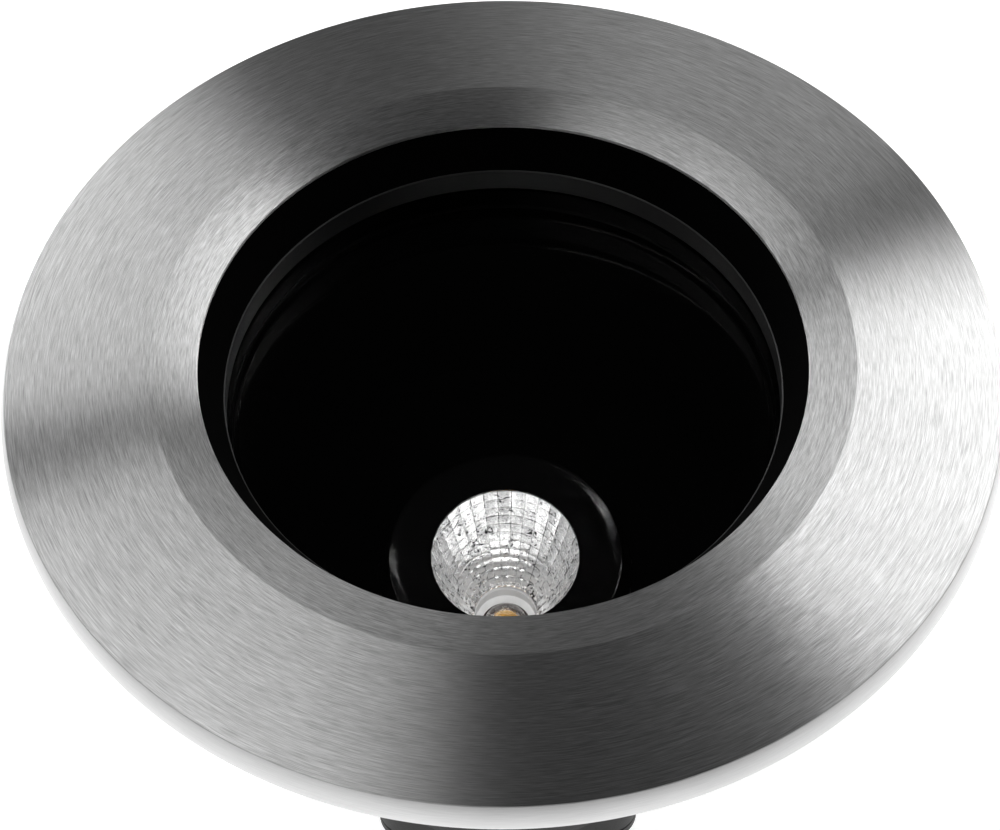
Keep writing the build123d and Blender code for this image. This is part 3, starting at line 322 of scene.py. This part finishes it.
class Paint:
    """A node material, built step by step."""

    def __init__(self, name):
        self.material = bpy.data.materials.new(name)
        self.material.use_nodes = True
        self.tree = self.material.node_tree
        self.shader = self.tree.nodes["Principled BSDF"]
        self.place = self.add("TexCoord").outputs["Object"]

    def add(self, kind, **settings):
        node = self.tree.nodes.new("ShaderNode" + kind)
        for key, value in settings.items():
            setattr(node, key, value)
        return node

    def put(self, source, socket):
        """Links a socket, or sets it to a number or colour."""
        if isinstance(source, bpy.types.NodeSocket):
            self.tree.links.new(source, socket)
        else:
            socket.default_value = source

    def set(self, **values):
        """Shader inputs by name, with underscores for spaces."""
        for name, value in values.items():
            self.put(value, self.shader.inputs[name.replace("_", " ")])

    def math(self, operation, a, b=0.0):
        node = self.add("Math", operation=operation)
        self.put(a, node.inputs[0])
        self.put(b, node.inputs[1])
        return node.outputs[0]

    def vector_node(self, operation, a, b=(0.0, 0.0, 0.0)):
        node = self.add("VectorMath", operation=operation)
        self.put(a, node.inputs[0])
        self.put(b, node.inputs[1])
        return node

    def vector(self, *operation):
        """A vector that a vector operation gives."""
        return self.vector_node(*operation).outputs["Vector"]

    def measure(self, *operation):
        """A number that a vector operation gives, such as a length."""
        return self.vector_node(*operation).outputs["Value"]

    def scaled(self, vector, factor):
        node = self.add("VectorMath", operation="SCALE")
        self.put(vector, node.inputs[0])
        self.put(factor, node.inputs["Scale"])
        return node.outputs[0]

    def combined(self, x, y, z=0.0):
        """A vector from three numbers."""
        node = self.add("CombineXYZ")
        for value, socket in zip((x, y, z), node.inputs):
            self.put(value, socket)
        return node.outputs[0]

    def noise(self, scale, detail, place=None, rough=0.5):
        node = self.add("TexNoise")
        self.put(place or self.place, node.inputs["Vector"])
        node.inputs["Scale"].default_value = scale
        node.inputs["Detail"].default_value = detail
        node.inputs["Roughness"].default_value = rough
        return node.outputs["Fac"]

    def spread(self, source, low, high, start=0.3, end=0.7):
        """A number from low to high as the source goes from start to end."""
        node = self.add("MapRange")
        self.put(source, node.inputs["Value"])
        node.inputs["From Min"].default_value = start
        node.inputs["From Max"].default_value = end
        node.inputs["To Min"].default_value = low
        node.inputs["To Max"].default_value = high
        return node.outputs["Result"]

    def blend(self, factor, one, other):
        """Colour from one to the other."""
        node = self.add("Mix", data_type="RGBA")
        self.put(factor, node.inputs["Factor"])
        self.put(one, node.inputs["A"])
        self.put(other, node.inputs["B"])
        return node.outputs["Result"]

    def bump(self, height, depth, strength=1.0):
        node = self.add("Bump")
        self.put(height, node.inputs["Height"])
        node.inputs["Distance"].default_value = depth
        node.inputs["Strength"].default_value = strength
        self.put(node.outputs["Normal"], self.shader.inputs["Normal"])


def grey(level):
    """A grey of a level from 0 to 1."""
    return (level, level, level, 1.0)


def toned(colour, factor):
    """A colour made lighter or darker."""
    return tuple(factor * channel for channel in colour[:3]) + (1.0,)


def cylinder_place(paint):
    """Radius, height, X and Y of the shaded point."""
    split = paint.add("SeparateXYZ")
    paint.put(paint.place, split.inputs[0])
    x, y, z = split.outputs
    squares = paint.math("ADD", paint.math("MULTIPLY", x, x), paint.math("MULTIPLY", y, y))
    return paint.math("SQRT", squares), z, x, y


def polar_place(paint, along, across):
    """Coordinates that follow the turned surface: slow along the circle, quick across it."""
    radius, z, x, y = cylinder_place(paint)
    return paint.combined(
        paint.math("MULTIPLY", paint.math("DIVIDE", x, radius), along),
        paint.math("MULTIPLY", paint.math("DIVIDE", y, radius), along),
        paint.math("MULTIPLY", paint.math("SUBTRACT", radius, z), across),
    )


def brush_lines(paint, along, across):
    """Noise that is drawn out along the circle."""
    return paint.noise(scale=1.0, detail=2.0, place=polar_place(paint, along, across), rough=0.6)


def brushed_tone(paint, lines):
    """Grey of the brushed flank, and the paler grey of the turned edge under the rim, a painted highlight that
    brightens its reflection.
    """
    streaks = brush_lines(paint, along=9.0, across=2600.0)
    mixed = paint.math("ADD", paint.math("MULTIPLY", lines, 0.7), paint.math("MULTIPLY", streaks, 0.3))
    flank = paint.blend(paint.spread(mixed, 0.0, 1.0, start=0.38, end=0.62), grey(0.36), grey(0.68))
    # Painted highlight: the edge under the rim gets a paler grey than the flank, so that it reflects more brightly
    edge = paint.blend(paint.spread(mixed, 0.0, 1.0), grey(0.68), grey(0.82))
    height = cylinder_place(paint)[1]
    return paint.blend(paint.math("LESS_THAN", height, RIM_TOP - RIM_ROUND), flank, edge)


def brushed_normal(paint, lines):
    """Normal that the brushed lines sway sideways, along the circle."""
    normal = paint.add("NewGeometry").outputs["Normal"]
    along = paint.vector("NORMALIZE", paint.vector("CROSS_PRODUCT", (0.0, 0.0, 1.0), normal))
    sway = paint.scaled(along, paint.spread(lines, low=-0.018, high=0.018))
    return paint.vector("NORMALIZE", paint.vector("ADD", normal, sway))


def brushed_steel():
    """Stainless steel brushed in circles: fine lines shift its glare."""
    paint = Paint("brushed_stainless")
    lines = brush_lines(paint, along=22.0, across=9500.0)
    clouds = paint.noise(scale=28.0, detail=3.0)
    paint.set(
        Base_Color=brushed_tone(paint, lines),
        Metallic=1.0,
        Roughness=paint.spread(clouds, low=0.34, high=0.375),
        Anisotropic=0.97,
        Anisotropic_Rotation=0.25,
        Tangent=paint.add("Tangent", direction_type="RADIAL", axis="Z").outputs[0],
        Normal=brushed_normal(paint, lines),
    )
    return paint.material


def plain_metal(name, colour, roughness):
    """Machined or sheet metal with fine grain and faint stains."""
    paint = Paint(name)
    stains = paint.noise(scale=60.0, detail=4.0)
    grain = paint.noise(scale=900.0, detail=2.0)
    paint.set(
        Base_Color=paint.blend(paint.spread(stains, 0.0, 1.0), toned(colour, 0.82), colour),
        Metallic=1.0,
        Roughness=paint.spread(grain, low=roughness - 0.06, high=roughness + 0.08),
    )
    paint.bump(grain, depth=0.00002, strength=0.4)
    return paint.material


def coated(name, colour, roughness, grain_scale, depth, specular):
    """Painted, moulded or rubber surface with its own fine texture."""
    paint = Paint(name)
    grain = paint.noise(grain_scale, detail=3.0, rough=0.6)
    clouds = paint.noise(scale=45.0, detail=3.0)
    paint.set(
        Base_Color=paint.blend(paint.spread(clouds, 0.0, 1.0), toned(colour, 0.85), toned(colour, 1.18)),
        Roughness=paint.spread(grain, low=roughness - 0.05, high=roughness + 0.05),
        Specular_IOR_Level=specular,
    )
    paint.bump(grain, depth)
    return paint.material


def clear_glass():
    """Clear safety glass with hardly visible waviness."""
    paint = Paint("clear_glass")
    paint.set(Base_Color=grey(1.0), Roughness=0.0, Transmission_Weight=1.0, IOR=1.5, Specular_Tint=grey(0.3))
    paint.bump(paint.noise(scale=25.0, detail=1.0), depth=0.00002, strength=0.1)
    return paint.material


def clear_silicone():
    """Clear cast dome of the LED."""
    paint = Paint("clear_silicone")
    paint.set(Base_Color=(1.0, 0.97, 0.93, 1.0), Roughness=0.02, Transmission_Weight=1.0, IOR=1.41)
    paint.bump(paint.noise(scale=400.0, detail=1.0), depth=0.00001, strength=0.1)
    return paint.material


def reflector_grain(paint):
    """Faint unevenness of the pressed reflector sheet."""
    paint.bump(paint.noise(scale=900.0, detail=2.0), depth=0.00002, strength=0.3)


def bright_aluminium():
    """Bright satin reflector metal, with clusters of small dark specks that are painted reflections of dark
    surroundings.
    """
    paint = Paint("bright_aluminium")
    clusters = paint.math("MULTIPLY", paint.noise(scale=220.0, detail=1.0), 0.7)
    reflection_flecks = paint.math("ADD", paint.noise(scale=1300.0, detail=1.0), clusters)
    # Painted reflection: dark specks stand in for facets that mirror dark surroundings
    dark = paint.spread(reflection_flecks, 0.0, 1.0, start=1.0, end=1.06)
    paint.set(Base_Color=paint.blend(dark, grey(0.97), grey(0.04)), Metallic=0.8, Roughness=0.13)
    reflector_grain(paint)
    return paint.material


def seam_shade_paint():
    """Painted shade in the creases between the facets, which fades out here and there."""
    paint = Paint("reflector_seam_shade")
    breaks = paint.spread(paint.noise(scale=420.0, detail=1.0), 0.0, 1.0, start=0.42, end=0.54)
    # Painted shade: the seam strips are dark grey where shade falls in the creases
    paint.set(Base_Color=paint.blend(breaks, grey(0.03), grey(0.85)), Metallic=0.8, Roughness=0.3)
    reflector_grain(paint)
    return paint.material


def phosphor():
    """Unlit yellow phosphor with a grainy surface."""
    paint = Paint("phosphor")
    grain = paint.noise(scale=2500.0, detail=2.0)
    deep, pale = (1.0, 0.5, 0.05, 1.0), (1.0, 0.62, 0.12, 1.0)
    paint.set(Base_Color=paint.blend(paint.spread(grain, 0.0, 1.0), deep, pale), Roughness=0.5)
    paint.bump(grain, depth=0.00005, strength=0.5)
    return paint.material


def recess_shade_mask(paint):
    """1 on the faces of the casting that line the recess, where painted shade darkens it, 0 elsewhere."""
    radius, height, x, y = cylinder_place(paint)
    spoke = paint.vector("NORMALIZE", paint.combined(x, y))
    outward = paint.measure("DOT_PRODUCT", paint.add("NewGeometry").outputs["Normal"], spoke)
    within = paint.math("LESS_THAN", radius, RECESS_RADIUS)
    within = paint.math("MULTIPLY", within, paint.math("GREATER_THAN", height, RECESS_FOOT))
    return paint.math("MULTIPLY", within, paint.math("LESS_THAN", outward, OUTSIDE_SLOPE))


def cast_black():
    """Coated casting: rough black outside, and inside the recess a far darker black that is painted shade."""
    paint = Paint("cast_black")
    inside = recess_shade_mask(paint)
    # Painted shade: the recess lining is given a far darker black than the outside
    paint.set(
        Base_Color=paint.blend(inside, grey(0.02), grey(0.0004)),
        Roughness=paint.spread(inside, low=0.55, high=0.9, start=0.0, end=1.0),
        Specular_IOR_Level=0.3,
    )
    paint.bump(paint.noise(scale=1500.0, detail=3.0, rough=0.6), depth=0.0001)
    return paint.material


def studio_floor():
    """Plain pale floor and low wall, which glow for the camera and fade in reflections."""
    paint = Paint("studio_floor")
    away = paint.measure("LENGTH", paint.place)
    glow = paint.spread(away, low=FLOOR_GLOW, high=WALL_GLOW, start=GLOW_FADE_START, end=FLOOR_RADIUS)
    rays = paint.add("LightPath").outputs
    direct = paint.math("MULTIPLY", rays["Is Camera Ray"], DIRECT_GLOW)
    seen = paint.math("MAXIMUM", rays["Is Glossy Ray"], rays["Is Transmission Ray"])
    paint.set(
        Base_Color=grey(0.65),
        Roughness=0.9,
        Specular_IOR_Level=0.0,
        Emission_Color=grey(1.0),
        Emission_Strength=paint.math("MAXIMUM", direct, paint.math("MULTIPLY", seen, glow)),
    )
    return paint.material


# Metals: slot, colour and roughness
METALS = (
    ("spring_steel", grey(0.5), 0.3),
    ("steel_sheet", grey(0.42), 0.38),
    ("stainless_screws", grey(0.55), 0.25),
    ("brass", (0.72, 0.5, 0.2, 1.0), 0.28),
    ("sink_aluminium", grey(0.6), 0.35),
)

# Coated, moulded and rubber surfaces: slot, colour, roughness, the scale and the depth
# of the grain, and the specular level
COATINGS = (
    ("matt_black", grey(0.0003), 0.85, 2200.0, 0.00004, 0.03),
    ("satin_black_metal", grey(0.009), 0.42, 1600.0, 0.00003, 0.4),
    ("gloss_black", grey(0.0001), 0.12, 300.0, 0.000001, 0.5),
    ("black_rubber", grey(0.003), 0.8, 1200.0, 0.00004, 0.1),
    ("white_plastic", grey(0.8), 0.45, 900.0, 0.00002, 0.5),
    ("board_brown", (0.018, 0.007, 0.004, 1.0), 0.3, 1500.0, 0.00001, 0.5),
    ("thermal_grey", grey(0.3), 0.8, 900.0, 0.00003, 0.5),
    ("driver_plastic", grey(0.72), 0.5, 900.0, 0.00003, 0.5),
    ("terminal_plastic", (0.62, 0.6, 0.55, 1.0), 0.5, 900.0, 0.00003, 0.5),
    ("black_plastic", grey(0.018), 0.45, 1300.0, 0.00004, 0.5),
    ("lead_sheath", grey(0.6), 0.55, 700.0, 0.00002, 0.5),
)


def slot_materials():
    """The finish of each of the record's material slots that CAD nodes show."""
    finishes = {row[0]: plain_metal(*row) for row in METALS}
    finishes.update({row[0]: coated(*row) for row in COATINGS})
    finishes["cast_black"] = cast_black()
    finishes["clear_glass"] = clear_glass()
    finishes["clear_silicone"] = clear_silicone()
    finishes["phosphor"] = phosphor()
    return finishes


def finish_nodes(finishes):
    """Gives every shown CAD node the finish of its slot in the record."""
    for part in frame["record"]["subparts"]:
        obj = nodes[part["node"]]
        if not obj.hide_render:
            obj.data.materials.clear()
            obj.data.materials.append(finishes[part["material_slot"]])


# Cover ring

def ring_outline():
    """Section of the ring: the swelling edge, flank, crest, land and lip, and the hollow below."""
    rim = (RIM_RADIUS, RIM_TOP)
    foot = (RIM_RADIUS + EDGE_FOOT_FLARE, GROUND)
    swell = (RIM_RADIUS + EDGE_SWELL, GROUND + EDGE_SWELL_HEIGHT)
    edge = arc_through(foot, swell, rim, EDGE_STEPS)
    inner_edge = RIM_RADIUS - EDGE_WALL
    ceiling = CREST_TOP - RING_WALL
    edge_ceiling = RIM_TOP + FLANK_SLOPE * EDGE_WALL - RING_WALL
    under_lip = HOLE_TOP - HOLE_LIP
    return [(x, z, 0) for x, z in edge[:-1]] + [
        (*rim, RIM_ROUND),
        (CREST_RADIUS, CREST_TOP, CREST_ROUND),
        (HOLE_RADIUS, HOLE_TOP, LIP_ROUND),
        (HOLE_RADIUS, under_lip, 0),
        (SKIRT_INNER, under_lip - LIP_UNDERCUT, HIDDEN_ROUND),
        (SKIRT_INNER, SKIRT_FOOT, HIDDEN_ROUND),
        (SKIRT_OUTER, SKIRT_FOOT, HIDDEN_ROUND),
        (SKIRT_OUTER, ceiling, HIDDEN_ROUND),
        (CREST_RADIUS, ceiling, HIDDEN_ROUND),
        (inner_edge, edge_ceiling, HIDDEN_ROUND),
        (inner_edge, GROUND, HIDDEN_ROUND),
    ]


def clip_pad(angle):
    """Block under the flank that a leaf clip sits on, sunk into the flank's wall."""
    turn = Matrix.Rotation(angle, 3, "Z")
    corners = []
    for x in (PAD_INNER, PAD_OUTER):
        top = RIM_TOP + FLANK_SLOPE * (RIM_RADIUS - x) - RING_WALL / 2
        for y in (-PAD_HALF_WIDTH, PAD_HALF_WIDTH):
            corners += [tuple(turn @ Vector((x, y, z))) for z in (PAD_FOOT, top)]
    faces = [(0, 1, 3, 2), (4, 6, 7, 5), (0, 4, 5, 1), (2, 3, 7, 6), (0, 2, 6, 4), (1, 5, 7, 3)]
    return corners, faces


def cover_ring():
    """The brushed cover ring, finely turned, with the pads of its clips."""
    pads = [clip_pad(PAD_FIRST + 2 * math.pi * i / PAD_COUNT) for i in range(PAD_COUNT)]
    shape = joined(turned(softened(ring_outline()), RING_STEPS), *pads)
    ring = piece("cover_ring", shape, brushed_steel())
    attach(ring, "cover")
    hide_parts("trim_ring")
    return ring


# Lamp head

def seated(vertices):
    """Points of the lamp head, moved to the tilt axis and leant to its rest angle."""
    pivot = Vector(joints["head_tilt"]["pos_m"])
    seat = Matrix.Translation(pivot) @ Matrix.Rotation(HEAD_TILT, 4, "X")
    return [tuple(seat @ Vector(v)) for v in vertices]


def bowl_radius(share):
    """Parabolic bowl: its radius at a share of the way from the neck to the mouth."""
    return math.sqrt(NECK_RADIUS ** 2 + (MOUTH_RADIUS ** 2 - NECK_RADIUS ** 2) * share)


def facet_leans():
    """How far each facet's side and top edges stand in, by chance: whole columns lean most."""
    chance = random.Random(FACET_SEED)
    columns = [chance.uniform(-COLUMN_LEAN, COLUMN_LEAN) for _ in range(FACET_COLUMNS)]
    rows = []
    for _ in range(FACET_ROWS):
        tips = [chance.uniform(-ROW_LEAN, ROW_LEAN) for _ in range(FACET_COLUMNS)]
        rows.append(list(zip(columns, tips)))
    return rows


def facet_swell(lean, along, rise):
    """How far a facet stands in at a place on it: a pillow on a leaning plane, with sunk seams."""
    if not along or not rise:
        return -SEAM_DEPTH
    side_lean, top_lean = lean
    # The product is 1/16 in the facet's middle, and 0 at its edges
    pillow = FACET_PILLOW * 16 * along * (1 - along) * rise * (1 - rise)
    return pillow + side_lean * (2 * along - 1) + top_lean * (2 * rise - 1)


def facet_ring(leans, row, rise):
    """Points round the bowl's inside at one height in a row of facets."""
    low, high = bowl_radius(row / FACET_ROWS), bowl_radius((row + 1) / FACET_ROWS)
    corner = low + (high - low) * rise
    height = NECK_TOP + BOWL_DEPTH * (row + rise) / FACET_ROWS
    points = []
    for column in range(FACET_COLUMNS):
        angles = [2 * math.pi * (column + end) / FACET_COLUMNS for end in (-0.5, 0.5)]
        ends = [Vector((corner * math.cos(a), corner * math.sin(a), height)) for a in angles]
        for along in FACET_CUTS:
            point = ends[0].lerp(ends[1], along)
            inward = Vector((-point.x, -point.y, 0)).normalized()
            points.append(tuple(point + inward * facet_swell(leans[row][column], along, rise)))
    return points


def bowl_inside():
    """Rings of the facets, from the neck up to the mouth."""
    leans = facet_leans()
    rings = [facet_ring(leans, row, rise) for row in range(FACET_ROWS) for rise in FACET_CUTS]
    return rings + [facet_ring(leans, FACET_ROWS - 1, 1)]


def bowl_outside():
    """Rings from the flange down the smooth outside to the foot of the neck."""
    below_flange = MOUTH_TOP - BOWL_WALL
    places = [(FLANGE_RADIUS, MOUTH_TOP), (FLANGE_RADIUS, below_flange)]
    places.append((MOUTH_RADIUS + BOWL_WALL, below_flange))
    for row in range(FACET_ROWS - 1, -1, -1):
        share = row / FACET_ROWS
        places.append((bowl_radius(share) + BOWL_WALL, NECK_TOP + BOWL_DEPTH * share))
    places.append((NECK_RADIUS + BOWL_WALL, NECK_FOOT))
    places.append((NECK_RADIUS * math.cos(math.pi / FACET_COLUMNS), NECK_FOOT))
    return [circle_ring(radius, height, BOWL_STEPS) for radius, height in places]


def is_seam(index):
    """Whether a cut or ring of the bowl's facets starts a strip of the seam between two."""
    return index % len(FACET_CUTS) in (0, len(FACET_CUTS) - 1)


def paint_seam_shade(bowl):
    """Gives the seams between the facets a material of their own, which paints shade into the creases."""
    bowl.data.materials.append(seam_shade_paint())
    for face in bowl.data.polygons:
        ring, cut = divmod(face.index, BOWL_STEPS)
        if ring < FACET_RINGS and (is_seam(ring) or is_seam(cut)):
            face.material_index = 1


def faceted_bowl():
    """The reflector: rows of pillow facets inside, smooth outside, with flange and neck."""
    vertices, faces = closed_rings(bowl_inside() + bowl_outside())
    bowl = piece("faceted_reflector", (seated(vertices), faces), bright_aluminium(), BOWL_SHARP)
    paint_seam_shade(bowl)
    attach(bowl, "lamp_head")
    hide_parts("reflector")
    return bowl


def pivot_boss(side):
    """Tube on the tilt axis, from inside the ball's wall to the washer's seat."""
    outline = [
        (BOSS_BORE, BOSS_START),
        (BOSS_RADIUS, BOSS_START),
        (BOSS_RADIUS, BOSS_END),
        (BOSS_BORE, BOSS_END),
    ]
    vertices, faces = turned(outline, BOSS_STEPS)
    turn = Matrix.Rotation(side * math.pi / 2, 3, "Y")
    return [tuple(turn @ Vector(v)) for v in vertices], faces


def front_outline():
    """Section of the head's front: crown, rounded shoulder and ball, and the bore and seat inside."""
    crown_centre = (CROWN_START, BALL_TOP - CROWN_CURVE)
    shoulder = meeting((0, 0), BALL_RADIUS, crown_centre, CROWN_CURVE)
    spoke = shoulder - Vector(crown_centre)
    crown = arc_points(crown_centre, CROWN_CURVE, math.pi / 2, math.atan2(spoke.y, spoke.x), BALL_STEPS)
    bottom = -math.asin(BALL_BOTTOM / BALL_RADIUS)
    ball = arc_points((0, 0), BALL_RADIUS, math.atan2(shoulder.y, shoulder.x), bottom, BALL_STEPS)
    seat = FLANGE_RADIUS + SEAT_GAP
    # The arcs' points next to the shoulder make way for its rounding
    outline = [(MOUTH_RADIUS, BALL_TOP)] + crown[:-2]
    outline += rounded(tuple(shoulder), crown[-2], ball[1], SHOULDER_ROUND)
    outline += ball[2:]
    return outline + [
        (BALL_BORE, -BALL_BOTTOM),
        (BALL_BORE, BALL_LEDGE),
        (seat, BALL_LEDGE),
        (seat, MOUTH_TOP),
        (MOUTH_RADIUS, MOUTH_TOP),
    ]


def head_front(gloss):
    """Glossy ball-shaped front of the lamp head, its face curving gently down at the edge."""
    bosses = [pivot_boss(side) for side in (-1, 1)]
    vertices, faces = joined(turned(front_outline(), HEAD_STEPS), *bosses)
    front = piece("head_front", (seated(vertices), faces), gloss)
    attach(front, "lamp_head")
    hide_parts("lamp_collar")


# Studio and camera

def studio():
    """Round floor that curves up into a low wall."""
    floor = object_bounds()[0].z
    corner = (FLOOR_RADIUS, floor + WALL_CURVE)
    outline = [(FLOOR_RADIUS * i / FLOOR_BANDS, floor) for i in range(1, FLOOR_BANDS)]
    outline += arc_points(corner, WALL_CURVE, -math.pi / 2, 0, WALL_STEPS)
    outline.append((FLOOR_RADIUS + WALL_CURVE, floor + WALL_HEIGHT))
    vertices, faces = turned(outline, FLOOR_STEPS)
    # One middle face takes the place of the last ring of faces, which would close the surface
    faces = faces[:-FLOOR_STEPS]
    faces.append(tuple(range(FLOOR_STEPS)))
    piece("studio_floor", (vertices, faces), studio_floor())


def softbox(
    name, azimuth, elevation, width, height, roll, radiance, distance=LAMP_DISTANCE, target=ORIGIN
):
    """Area lamp of a size in metres that faces a target. Angles are in degrees."""
    lamp = bpy.data.lights.new(name, "AREA")
    lamp.shape = "RECTANGLE"
    lamp.size = width
    lamp.size_y = height
    lamp.energy = radiance * math.pi * width * height
    obj = bpy.data.objects.new(name, lamp)
    a, e = math.radians(azimuth), math.radians(elevation)
    out = Vector((math.cos(e) * math.cos(a), math.cos(e) * math.sin(a), math.sin(e)))
    side = Vector((0, 0, 1)).cross(out).normalized()
    up = out.cross(side)
    turn = Matrix((side, up, out)).transposed() @ Matrix.Rotation(math.radians(roll), 3, "Z")
    obj.matrix_world = Matrix.Translation(target + out * distance) @ turn.to_4x4()
    obj.visible_camera = False
    bpy.context.scene.collection.objects.link(obj)
    return obj


def light_only(lamp, objects):
    """Keeps a lamp's light to a few objects."""
    receivers = bpy.data.collections.new(lamp.name + "_receivers")
    for obj in objects:
        receivers.objects.link(obj)
    lamp.light_linking.receiver_collection = receivers


def lights(bowl, ring):
    """Studio lamps, one of them for the ring alone, and the reflector's own lamp."""
    lamps = {row[0]: softbox(*row) for row in LAMPS}
    light_only(lamps["far_high"], [ring])
    mouth = Vector(seated([(0, 0, MOUTH_TOP)])[0])
    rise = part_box("glass_pane")[0].z - FILL_GAP - mouth.z
    fill = softbox(*FILL_LAMP, distance=rise, target=mouth)
    light_only(fill, [bowl] + [nodes[name] for name in FILLED])


def dim_world():
    """Weak even light from all sides."""
    world = bpy.data.worlds.new("dark_studio")
    world.use_nodes = True
    background = world.node_tree.nodes["Background"]
    background.inputs["Color"].default_value = grey(1.0)
    background.inputs["Strength"].default_value = WORLD_STRENGTH
    bpy.context.scene.world = world


def camera():
    """The photograph's viewpoint."""
    target = Vector((0, 0, RIM_TOP))
    back = Vector((0, -math.cos(CAMERA_ELEVATION), math.sin(CAMERA_ELEVATION)))
    data = bpy.data.cameras.new("camera")
    data.sensor_width = SENSOR_WIDTH
    data.lens = SENSOR_WIDTH * FOCAL_PIXELS / IMAGE_WIDTH
    data.clip_start = CAMERA_NEAR
    obj = bpy.data.objects.new("camera", data)
    turn = Matrix.Rotation(math.pi / 2 - CAMERA_ELEVATION, 4, "X")
    turn = turn @ Matrix.Rotation(CAMERA_YAW, 4, "Y") @ Matrix.Rotation(CAMERA_PITCH, 4, "X")
    turn = turn @ Matrix.Rotation(CAMERA_ROLL, 4, "Z")
    obj.matrix_world = Matrix.Translation(target + back * CAMERA_DISTANCE) @ turn
    bpy.context.scene.collection.objects.link(obj)
    bpy.context.scene.camera = obj


bpy.context.scene.view_settings.view_transform = "Standard"
camera()
studio()
finishes = slot_materials()
ring = cover_ring()
bowl = faceted_bowl()
head_front(finishes["gloss_black"])
finish_nodes(finishes)
lights(bowl, ring)
dim_world()
